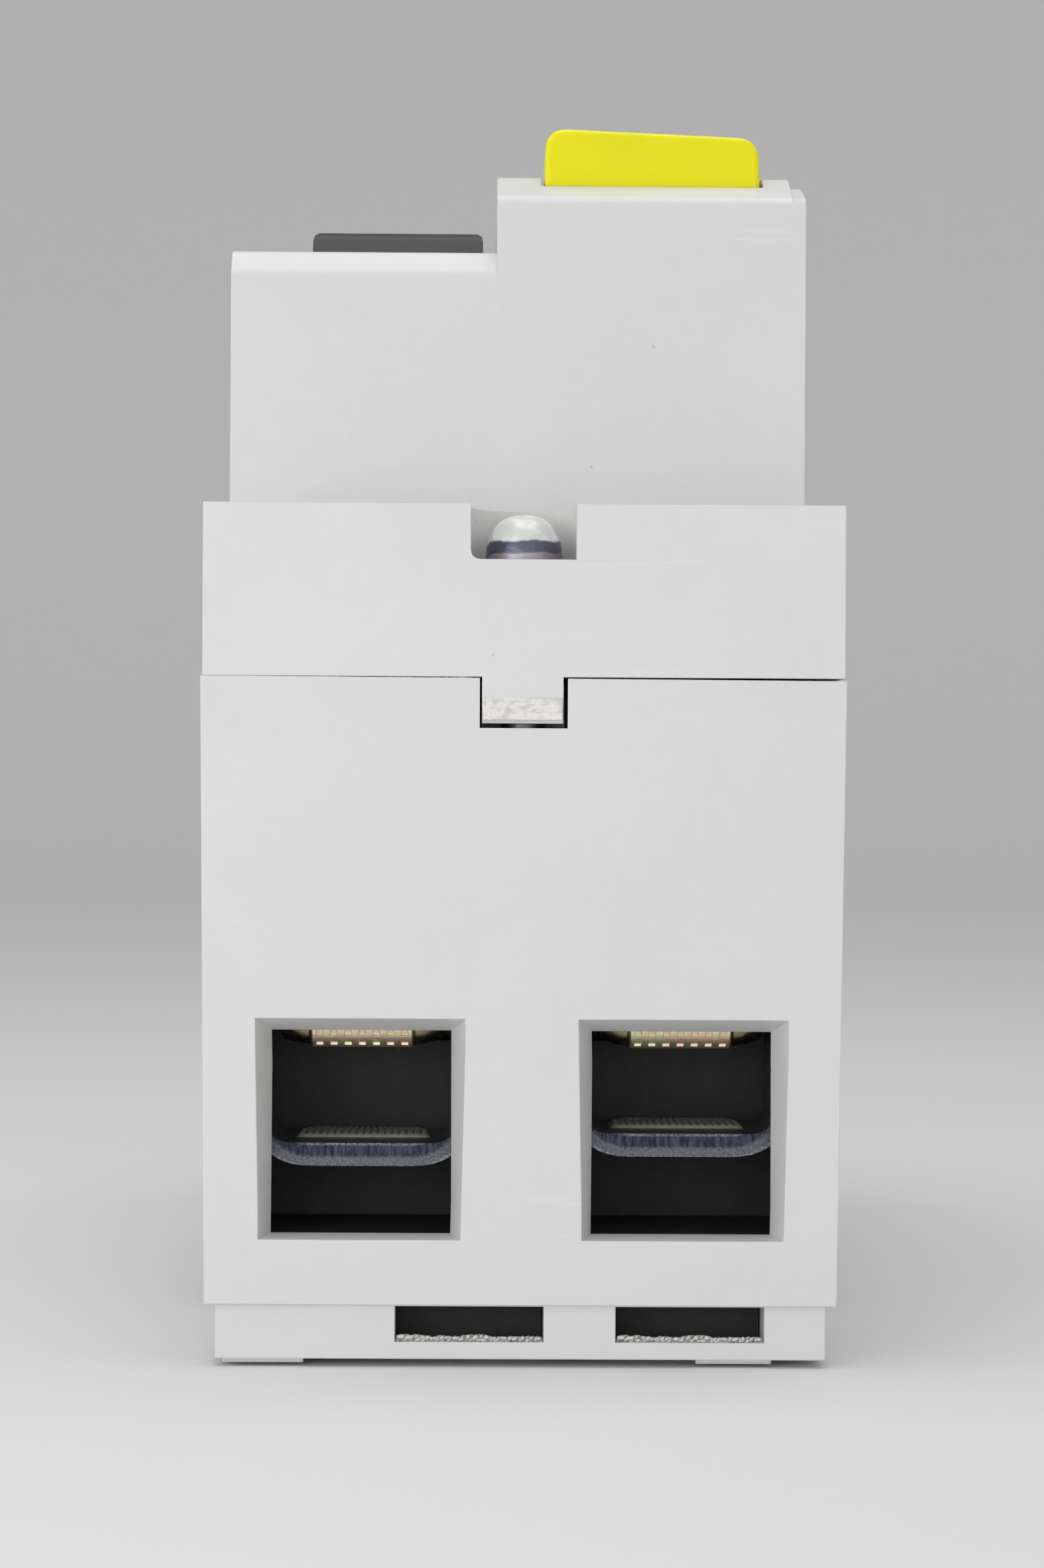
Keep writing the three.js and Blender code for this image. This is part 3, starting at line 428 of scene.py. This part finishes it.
SLOT_OF = {part["node"]: part["material_slot"] for part in frame["record"]["subparts"]}
BODY_OF = {node: body for body, nodes in frame["record"]["behaviour"]["bodies"].items() for node in nodes}


def dress(piece, slot):
    piece.data.materials.clear()
    piece.data.materials.append(SLOT_FINISH[slot].material)


for node, slot in SLOT_OF.items():
    dress(frame["nodes"][node], slot)
print("dressed", len(SLOT_OF), "nodes")

# %% [markdown]
# ## Small modelling tools
# Every new piece is a bmesh shaped with operators and then stored as an object at the origin. `finish_piece`
# names it, gives it the finish of its record slot and its body, and hides the CAD nodes it stands for.

# %% Making, shaping and storing a piece
def finish_piece(name, mesh, slot, body, replaced=(), smooth_below=35):
    data = bpy.data.meshes.new(name)
    mesh.to_mesh(data)
    mesh.free()
    piece = bpy.data.objects.new(name, data)
    bpy.context.scene.collection.objects.link(piece)
    for polygon in data.polygons:
        polygon.use_smooth = True
    data.set_sharp_from_angle(angle=math.radians(smooth_below))
    even = piece.modifiers.new("even shading", "WEIGHTED_NORMAL")
    even.keep_sharp = True
    dress(piece, slot)
    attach(piece, body)
    if replaced:
        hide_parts(*replaced)
    print(f"{name}: {len(data.polygons)} faces on {body}")
    return piece


def block(low, high):
    """A box between two corners, in millimetres, as a bmesh."""
    mesh = bmesh.new()
    size = Vector(high) - Vector(low)
    middle = (Vector(high) + Vector(low)) / 2
    place = Matrix.Translation(middle * MM) @ Matrix.Diagonal((*(size * MM), 1))
    bmesh.ops.create_cube(mesh, size=1, matrix=place)
    return mesh


def bevel(mesh, edges, width, segments=2):
    bmesh.ops.bevel(mesh, geom=edges, offset=width * MM, offset_type="OFFSET", affect="EDGES",
                    segments=segments, profile=0.5, material=-1, clamp_overlap=True)


def sharp_edges(mesh, degrees=30):
    return [e for e in mesh.edges if e.is_manifold and e.calc_face_angle(0) > math.radians(degrees)]


def absorb(mesh, other):
    """Adds another bmesh's pieces to this one."""
    carrier = bpy.data.meshes.new("carrier")
    other.to_mesh(carrier)
    other.free()
    mesh.from_mesh(carrier)
    bpy.data.meshes.remove(carrier)


def node_copy(node):
    """A CAD node's mesh as clean polygons: doubles merged, flat areas dissolved."""
    mesh = bmesh.new()
    mesh.from_mesh(frame["nodes"][node].data)
    bmesh.ops.remove_doubles(mesh, verts=mesh.verts, dist=0.002 * MM)
    bmesh.ops.dissolve_degenerate(mesh, edges=mesh.edges, dist=0.002 * MM)
    bmesh.ops.dissolve_limit(mesh, angle_limit=math.radians(0.6), verts=mesh.verts, edges=mesh.edges)
    return mesh


def softened(node, width, segments=2, degrees=30, crisp=None):
    """A copy of a CAD node with its sharp edges rounded, except where crisp(point in mm) holds."""
    mesh = node_copy(node)
    edges = sharp_edges(mesh, degrees)
    if crisp:
        edges = [e for e in edges if not all(crisp(v.co / MM) for v in e.verts)]
    bevel(mesh, edges, width, segments)
    return mesh


def mark(mesh, name, value=1.0):
    """Gives every point of a bmesh a number that its finish reads."""
    layer = mesh.verts.layers.float.new(name)
    for vert in mesh.verts:
        vert[layer] = value
    return layer


print("modelling tools ready")

# %% [markdown]
# ## Base housing
# The base is the lower moulding: drafted sides, two funnelled wire entries at each end and the rail feet.
# The CAD solid has every face, so a copy of it gets its edges rounded the way a mould leaves them, rather
# than being drawn again. The joint with the cover closes towards the left, so the copy's top rises there.

# %% Base housing with moulded edges
TOP_RISE, TOP_DROP, RISE_OVER = 0.095, 0.03, 3
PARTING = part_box("base_housing")[1][2] / MM
HALF_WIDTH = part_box("base_housing")[1][0] / MM
END_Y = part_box("cover_housing")[0][1] / MM
base = softened("base_housing", 0.14, 2, 30, crisp=lambda at: at.z > PARTING - 0.3)
for vert in base.verts:
    rise = max(0.0, min(1.0, (vert.co.z / MM - PARTING + RISE_OVER) / RISE_OVER))
    left = (HALF_WIDTH - vert.co.x / MM) / (2 * HALF_WIDTH)
    vert.co.z += (TOP_RISE * left - TOP_DROP * (1 - left)) * rise * MM
finish_piece("base_shell", base, "base_plastic", "housing", ["base_housing"])

# %% [markdown]
# ## Cover housing
# The cover carries the stepped nose. Its outer edges are rounder than the base's.

# %% Cover housing with moulded edges
cover = softened("cover_housing", 0.3, 3, 30, crisp=lambda at: at.z < PARTING + 0.3)
finish_piece("cover_shell", cover, "cover_plastic", "housing", ["cover_housing"])

# %% [markdown]
# ## Test button, toggle and rail clip
# The first two are touched by fingers, so their edges are generous. The toggle's lever leans back, and the
# corners of its tip are rounded too: points near the end of its reach are drawn in along a quarter circle.
# The clip is a thin flat slider.

# %% Button, toggle and clip
LEAN, TOGGLE_PIVOT, TOGGLE_REACH, TOGGLE_CORNER = math.radians(28), 52.8, 19.3, 1.1
button = softened("test_button", 0.35, 4, 40)
finish_piece("button_cap", button, "button_plastic", "test_button", ["test_button"])
toggle = softened("toggle_handle", 0.3, 3, 40)
middle_x = (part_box("toggle_handle")[0][0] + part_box("toggle_handle")[1][0]) / 2 / MM
for vert in toggle.verts:
    at = vert.co / MM
    reach = at.y * math.sin(LEAN) + (at.z - TOGGLE_PIVOT) * math.cos(LEAN)
    over = max(0.0, min(1.0, (reach - TOGGLE_REACH + TOGGLE_CORNER) / TOGGLE_CORNER))
    pull = TOGGLE_CORNER * (1 - math.sqrt(1 - over * over)) if at.y > 0 and over else 0.0
    vert.co.x -= math.copysign(pull, at.x - middle_x) * MM
finish_piece("toggle_grip", toggle, "toggle_plastic", "toggle", ["toggle_handle"])
finish_piece("rail_clip", softened("din_clip", 0.12, 2, 30), "clip_plastic", "din_clip", ["din_clip"])

# %% [markdown]
# ## Moulding flash
# Real mouldings are not perfect. A hair of plastic squeezes out along the parting line and along the lower
# edges of the foot's windows: a strip of small faces whose free edge is displaced by seeded random steps. The
# tongue shows where its gate was cut off: a thin bevelled block, whose torn face is in its finish.

# %% Flash strips and the torn gate
def flash(name, x0, x1, z, height, thickness, y, slot, seed, base_height=0.0, spiky=1.0):
    """A ragged strip along X standing up from z, with its outer face at y, in millimetres."""
    draw = random.Random(seed)
    steps = max(8, int((x1 - x0) / 0.12))
    mesh = bmesh.new()
    bmesh.ops.create_grid(mesh, x_segments=steps, y_segments=2, size=0.5)
    tops = {}
    walk = 0.5
    for step in range(steps + 1):
        walk = min(1.0, max(0.25, walk + draw.uniform(-0.35, 0.35) * spiky))
        tops[step] = base_height + (height - base_height) * walk
    for vert in mesh.verts:
        along, up = vert.co.x + 0.5, vert.co.y + 0.5
        top = tops[round(along * steps)]
        lean = draw.uniform(-0.2, 0.2) * thickness * up
        vert.co = Vector((x0 + (x1 - x0) * along, y + lean, z + up * top)) * MM
    bmesh.ops.solidify(mesh, geom=mesh.faces[:], thickness=thickness * MM)
    bmesh.ops.recalc_face_normals(mesh, faces=mesh.faces[:])
    mark(mesh, "worn", 0.6)
    return finish_piece(name, mesh, slot, "housing", smooth_below=60)


flash("parting_flash", -17.5, -2.9, PARTING - 0.03, 0.13, 0.08, END_Y + 0.03, "base_plastic", 11, 0.06, 0.8)
flash("parting_flash_right", 2.9, 8.5, PARTING - 0.06, 0.09, 0.06, END_Y + 0.04, "base_plastic",
      12, 0.03, 0.8)
WINDOWS = {"left": (-7.0, 1.3), "right": (5.3, 13.6)}
WINDOW_SILL, FOOT_Y = 1.3, -42.2
for side, (x0, x1) in WINDOWS.items():
    flash(f"window_flash_{side}", x0 + 0.1, x1 - 0.1, WINDOW_SILL, 0.32, 0.12, FOOT_Y + 0.22, "base_plastic",
          5, 0.15)

GATE_LEFT, GATE_RIGHT, GATE_LOW, GATE_HIGH = -2.29, 2.15, 35.86, 37.1
gate = block((GATE_LEFT, END_Y - 0.06, GATE_LOW), (GATE_RIGHT, END_Y + 0.2, GATE_HIGH))
bevel(gate, gate.edges[:], 0.05, 2)
mark(gate, "worn")
finish_piece("tongue_gate", gate, "cover_plastic", "housing", smooth_below=50)

# %% [markdown]
# ## Terminal cages
# Each cage is a strip of zinc-plated steel folded into a box. Its ends were sheared. Two attributes hold the
# place across and up the cage, and from them the finish finds how deep in the sheet a point lies. The floor
# carries a coined, knurled pad that bites the wire: a grid whose cells are inset and raised, then tapered at
# its back corners.

# %% Cages with knurled pads
KNURL_WIDTH, KNURL_DEPTH, KNURL_HEIGHT, KNURL_PITCH = 7.4, 4.4, 0.16, 0.4
KNURL_FORWARD, KNURL_LIFT = 1.5, 0.12


def knurled_pad(width, depth, height, pitch):
    pad = bmesh.new()
    across, along = round(width / pitch), round(depth / pitch)
    bmesh.ops.create_grid(pad, x_segments=across, y_segments=along, size=0.5)
    bmesh.ops.scale(pad, vec=(width * MM, depth * MM, 1), verts=pad.verts)
    skirt = bmesh.ops.extrude_edge_only(pad, edges=[e for e in pad.edges if e.is_boundary])
    low = [v for v in skirt["geom"] if isinstance(v, bmesh.types.BMVert)]
    bmesh.ops.translate(pad, vec=(0, 0, -height * MM), verts=low)
    bmesh.ops.scale(pad, vec=(1.05, 1.05, 1), verts=low)
    cells = [f for f in pad.faces if abs(f.normal.z) > 0.9]
    bmesh.ops.inset_individual(pad, faces=cells, thickness=pitch * 0.36 * MM, depth=pitch * 0.3 * MM)
    for vert in pad.verts:
        back = max(0.0, vert.co.y / (depth * MM) - 0.1) / 0.4
        vert.co.x *= 1 - 0.22 * back
    bmesh.ops.recalc_face_normals(pad, faces=pad.faces[:])
    if max(pad.faces, key=lambda f: f.calc_center_median().z).normal.z < 0:
        bmesh.ops.reverse_faces(pad, faces=pad.faces[:])
    return pad


def cage(node):
    """A cage with softened edges, its two place attributes and the pad on its floor."""
    low, high = (Vector(corner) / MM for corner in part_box(node))
    middle = (low + high) / 2
    mesh = softened(node, 0.06, 2, 40)
    across, up = mark(mesh, "cage x"), mark(mesh, "cage z")
    for vert in mesh.verts:
        vert[across], vert[up] = vert.co.x / MM - middle.x, vert.co.z / MM - low.z
    pad = knurled_pad(KNURL_WIDTH, KNURL_DEPTH, KNURL_HEIGHT, KNURL_PITCH)
    mark(pad, "knurled")
    front = -1 if middle.y < 0 else 1
    if front > 0:
        bmesh.ops.rotate(pad, matrix=Matrix.Rotation(math.pi, 3, "Z"), verts=pad.verts)
    place = Vector((middle.x, middle.y - front * KNURL_FORWARD, low.z + CAGE_FLOOR + KNURL_LIFT)) * MM
    bmesh.ops.translate(pad, vec=place, verts=pad.verts)
    absorb(mesh, pad)
    return finish_piece(node.replace("_cage_", "_clamp_"), mesh, "cage_zinc", BODY_OF[node], [node])


for end in ("line", "load"):
    for side in ("left", "right"):
        cage(f"{end}_cage_{side}")

# %% [markdown]
# ## Contact plates
# The fixed plate over each cage is brass with a pale gold film. Its front rolls up to lead the wire in, and
# a proud pad down its middle is coined with rows of square dimples. The plate is a grid bent round the roll
# and then given its thickness. The dimples come last, each four cells inset and pushed in together, because
# a wall grown from a dimpled face would spike through itself.

# %% Rolled plates with dimples
PLATE_HALF, PLATE_UNDER, ROLL, PLATE_FRONT = 4.6, 17.5, 1.5, 39.35
PAD_HALF, DIMPLE_PITCH, ROLL_LOW = 2.95, 0.8, 2.3
PLATE_CELL, PLATE_THICKNESS, DIMPLE_DEPTH = 0.2, 1.1, 0.13
PAD_RISE, RIDGE_RISE, WING_DROP = 0.14, 0.07, 0.42


def along_roll(distance):
    """(y, z, lean) on the underside of a -Y end plate, from the tip of its roll."""
    arc = ROLL * math.pi / 2
    if distance < arc:
        turn = distance / ROLL
        return -PLATE_FRONT + ROLL - ROLL * math.cos(turn), PLATE_UNDER + ROLL - ROLL * math.sin(turn), turn
    return -PLATE_FRONT + ROLL + distance - arc, PLATE_UNDER, math.pi / 2


def on_dimple(distance):
    """Whether a cell's centre lies beside a line of the dimple grid."""
    return abs(distance / DIMPLE_PITCH - round(distance / DIMPLE_PITCH)) * DIMPLE_PITCH < PLATE_CELL


def rolled_plate(length):
    mesh = bmesh.new()
    columns, rows = round(2 * PLATE_HALF / PLATE_CELL), round(length / PLATE_CELL)
    bmesh.ops.create_grid(mesh, x_segments=columns, y_segments=rows, size=0.5)
    coined = mark(mesh, "coined", 0.0)
    dimpled = mesh.faces.layers.int.new("dimpled")
    for face in mesh.faces:
        centre = face.calc_center_median()
        x, distance = centre.x * 2 * PLATE_HALF, (centre.y + 0.5) * length
        if on_dimple(x) and on_dimple(distance) and abs(x) < 2.7 and distance < 7.5:
            face[dimpled] = 1
    for vert in mesh.verts:
        x, distance = vert.co.x * 2 * PLATE_HALF, (vert.co.y + 0.5) * length
        y, z, lean = along_roll(distance)
        proud = PAD_RISE if abs(x) < PAD_HALF else 0.0
        ridge = RIDGE_RISE * max(0.0, 1 - abs(distance - ROLL_LOW) / PLATE_CELL)
        wing = max(0.0, abs(x) - PAD_HALF) / (PLATE_HALF - PAD_HALF)
        out = proud + ridge - WING_DROP * wing ** 2
        y -= math.cos(lean) * out
        z -= math.sin(lean) * out
        vert.co = Vector((x, y, z)) * MM
        # The finish paints the plate darker off the pad, as shade on the wings.
        vert[coined] = 1.0 if abs(x) < PAD_HALF else 0.0
    mesh.normal_update()
    if min(mesh.faces, key=lambda f: f.calc_center_median().y).normal.y > 0:
        bmesh.ops.reverse_faces(mesh, faces=mesh.faces[:])
    bmesh.ops.solidify(mesh, geom=mesh.faces[:], thickness=PLATE_THICKNESS * MM)
    bmesh.ops.recalc_face_normals(mesh, faces=mesh.faces[:])
    outer = [f for f in mesh.faces if f[dimpled] and (f.normal.y < -0.1 or f.normal.z < -0.1)]
    bmesh.ops.inset_region(mesh, faces=outer, thickness=0.05 * MM, depth=-DIMPLE_DEPTH * MM)
    print("dimple faces:", len(outer), "plate top", round(max(v.co.z for v in mesh.verts) / MM, 2))
    return mesh


def strip(low, high):
    """A straight length of plate behind the roll, with softened edges."""
    mesh = block(low, high)
    bevel(mesh, mesh.edges[:], 0.12, 2)
    return mesh


for side, x in (("left", -9), ("right", 9)):
    plate = rolled_plate(13.0)
    absorb(plate, strip((-3, -28.0, 17.55), (3, -26.6, 19)))
    absorb(plate, strip((-3, -27.8, 7.4), (3, -26.6, 18.9)))
    absorb(plate, strip((-3, -27.8, 7.4), (3, -16, 8.6)))
    bmesh.ops.translate(plate, vec=(x * MM, 0, 0), verts=plate.verts)
    finish_piece(f"line_contact_{side}", plate, "plate_brass", "housing", [f"fixed_contact_{side}"], 28)
    plate = rolled_plate(15.0)
    bmesh.ops.rotate(plate, matrix=Matrix.Rotation(math.pi, 3, "Z"), verts=plate.verts)
    bmesh.ops.translate(plate, vec=(x * MM, 0, 0), verts=plate.verts)
    finish_piece(f"load_contact_{side}", plate, "plate_brass", "housing", [f"load_plate_{side}"], 28)

# %% [markdown]
# ## Cover screws
# The two cover screws have tall domed heads, sealed with a blob of lacquer. A half outline spun round the
# axis gives a truer dome than the faceted CAD one, and a little seeded noise makes the lacquer lumpy.

# %% Domed and sealed heads
DOME_RADIUS, DOME_FOOT, DOME_WAIST, DOME_TOP, FULLNESS = 2.17, 43.0, 44.9, 47.5, 2.5
SHANK_RADIUS, SHANK_FOOT, BLOB_FOOT = 1.25, 24, 45.9


def domed_screw(name, y, node):
    mesh = bmesh.new()
    outline = [(0, SHANK_FOOT), (SHANK_RADIUS, SHANK_FOOT), (SHANK_RADIUS, DOME_FOOT),
               (DOME_RADIUS, DOME_FOOT), (DOME_RADIUS, DOME_WAIST)]
    for step in range(1, 15):
        turn = math.radians(90 * step / 15)
        outline.append((DOME_RADIUS * math.cos(turn) ** (2 / FULLNESS),
                        DOME_WAIST + (DOME_TOP - DOME_WAIST) * math.sin(turn) ** (2 / FULLNESS)))
    outline.append((0, DOME_TOP))
    verts = [mesh.verts.new(Vector((r, y, z)) * MM) for r, z in outline]
    edges = [mesh.edges.new(pair) for pair in zip(verts, verts[1:])]
    bmesh.ops.spin(mesh, geom=verts + edges, cent=Vector((0, y, 0)) * MM, axis=(0, 0, 1),
                   angle=2 * math.pi, steps=56, use_merge=True)
    bmesh.ops.remove_doubles(mesh, verts=mesh.verts, dist=0.001 * MM)
    bmesh.ops.recalc_face_normals(mesh, faces=mesh.faces[:])
    for vert in mesh.verts:
        at = vert.co / MM
        blob = max(0.0, min(1.0, (at.z - BLOB_FOOT) / 0.3))
        lump = noise.noise(Vector((at.x * 0.9, at.y * 0.9, at.z * 1.3))) * 0.1 * blob
        vert.co += Vector((at.x, at.y - y, 0)).normalized() * (lump - 0.03 * blob) * MM
    return finish_piece(name, mesh, "cover_screw_steel", "housing", [node])


domed_screw("line_sealed_screw", -39, "line_cover_screw")
domed_screw("load_sealed_screw", 39, "load_cover_screw")

# %% [markdown]
# ## Screw threads
# A thread is one V-shaped profile spun round the shank while it climbs. The spin's steps divide a turn
# evenly, so neighbouring turns share their root points and merge into one surface.

# %% Threads on the terminal screws
THREAD_PITCH, STEPS = 0.8, 20
ROOT_RADIUS, CREST_RADIUS, CREST_HALF = 2.3, 2.62, 0.07


def thread(name, x, y, z0, z1, body):
    mesh = bmesh.new()
    half = THREAD_PITCH / 2
    profile = [(ROOT_RADIUS, -half), (CREST_RADIUS, -CREST_HALF), (CREST_RADIUS, CREST_HALF),
               (ROOT_RADIUS, half)]
    verts = [mesh.verts.new(Vector((x + r, y, z0 + z)) * MM) for r, z in profile]
    edges = [mesh.edges.new(pair) for pair in zip(verts, verts[1:])]
    turns = int((z1 - z0) / THREAD_PITCH)
    bmesh.ops.spin(mesh, geom=verts + edges, cent=Vector((x, y, 0)) * MM, axis=(0, 0, 1),
                   dvec=(0, 0, THREAD_PITCH / STEPS * MM), angle=2 * math.pi * turns, steps=STEPS * turns)
    bmesh.ops.remove_doubles(mesh, verts=mesh.verts, dist=0.01 * MM)
    bmesh.ops.recalc_face_normals(mesh, faces=mesh.faces[:])
    outer = max(mesh.faces, key=lambda f: f.calc_center_median().x)
    if outer.normal.x < 0:
        bmesh.ops.reverse_faces(mesh, faces=mesh.faces[:])
    finish_piece(name, mesh, "screw_zinc", body)


for end, y in (("line", -35.1), ("load", 35.1)):
    for side, x in (("left", -9), ("right", 9)):
        thread(f"{end}_thread_{side}", x, y, 20.0, 31.0, f"{end}_screw_{side}")

# %% [markdown]
# ## Camera
# The portrait is taken square to the line end from about 205 mm, level with the middle of the body, with a
# long lens, so the nose and the far edges shrink only a little.

# %% Camera
CAMERA_PLACE = Vector((-2.3, -247.5, 32.3))
scene = bpy.context.scene
camera_data = bpy.data.cameras.new("portrait")
camera_data.sensor_fit = "VERTICAL"
camera_data.sensor_height = 36
camera_data.lens = 84.66
camera_data.clip_start = 0.01
camera = bpy.data.objects.new("portrait", camera_data)
yaw, roll = math.radians(-0.62), math.radians(0.33)
camera.matrix_world = (
    Matrix.Translation(CAMERA_PLACE * MM)
    @ Matrix.Rotation(yaw, 4, "Z") @ Matrix.Rotation(math.radians(90), 4, "X") @ Matrix.Rotation(roll, 4, "Z")
)
scene.collection.objects.link(camera)
scene.camera = camera
print("camera at", [round(v, 4) for v in camera.location])

# %% [markdown]
# ## Floor and light
# A pale sweep runs under the part and up behind it. The world gives most of the light, as in a soft tent.
# Weak softboxes above, in front and at the left shape the edges, and a low one lights the wire entries.

# %% Pale floor and soft light
# The sweep, in metres: half its width, how far it lies below the part, its bend's place and radius, its top.
SWEEP_HALF, SWEEP_DROP, BEND_Y, BEND_RADIUS, SWEEP_TOP = 3, 0.0002, 0.8, 0.6, 3.0
sweep = bmesh.new()
corner = [sweep.verts.new((-SWEEP_HALF, y, -SWEEP_DROP)) for y in (-3.0, BEND_Y)]
for step in range(1, 13):
    turn = math.radians(7.5 * step)
    y, z = BEND_Y + BEND_RADIUS * math.sin(turn), BEND_RADIUS * (1 - math.cos(turn)) - SWEEP_DROP
    corner.append(sweep.verts.new((-SWEEP_HALF, y, z)))
corner.append(sweep.verts.new((-SWEEP_HALF, 1.4, SWEEP_TOP)))
run = [sweep.edges.new(pair) for pair in zip(corner, corner[1:])]
far_edge = bmesh.ops.extrude_edge_only(sweep, edges=run)["geom"]
far_verts = [v for v in far_edge if isinstance(v, bmesh.types.BMVert)]
bmesh.ops.translate(sweep, vec=(2 * SWEEP_HALF, 0, 0), verts=far_verts)
sweep_data = bpy.data.meshes.new("sweep")
sweep.to_mesh(sweep_data)
sweep.free()
for polygon in sweep_data.polygons:
    polygon.use_smooth = True
sweep_object = bpy.data.objects.new("sweep", sweep_data)
scene.collection.objects.link(sweep_object)
FLOOR_FINISH = Finish("pale floor", Base_Color=(0.72, 0.72, 0.72), Roughness=0.85)
sweep_data.materials.append(FLOOR_FINISH.material)


def softbox(name, place, aim, size, watts):
    """A rectangular light at place that faces aim, both in millimetres."""
    light = bpy.data.lights.new(name, "AREA")
    light.shape = "RECTANGLE"
    light.size, light.size_y = (v * MM for v in size)
    light.energy = watts
    lamp = bpy.data.objects.new(name, light)
    lamp.location = Vector(place) * MM
    lamp.rotation_euler = (Vector(aim) - Vector(place)).to_track_quat("-Z", "Y").to_euler()
    scene.collection.objects.link(lamp)


softbox("key", (-120, -200, 30), (0, -30, 30), (120, 100), 0.098)
softbox("high front", (0, -250, 260), (0, -30, 40), (300, 150), 0.05)
softbox("low front", (0, -230, 40), (0, -30, 20), (240, 60), 0.048)
softbox("left side", (-260, -60, 60), (0, -20, 50), (160, 160), 0.097)
softbox("top", (0, -20, 400), (0, -10, 60), (300, 240), 0.47)
world = bpy.data.worlds.new("studio")
world.use_nodes = True
world.node_tree.nodes["Background"].inputs["Color"].default_value = (0.81, 0.81, 0.82, 1)
world.node_tree.nodes["Background"].inputs["Strength"].default_value = 0.79
scene.world = world
scene.view_settings.view_transform = "Standard"
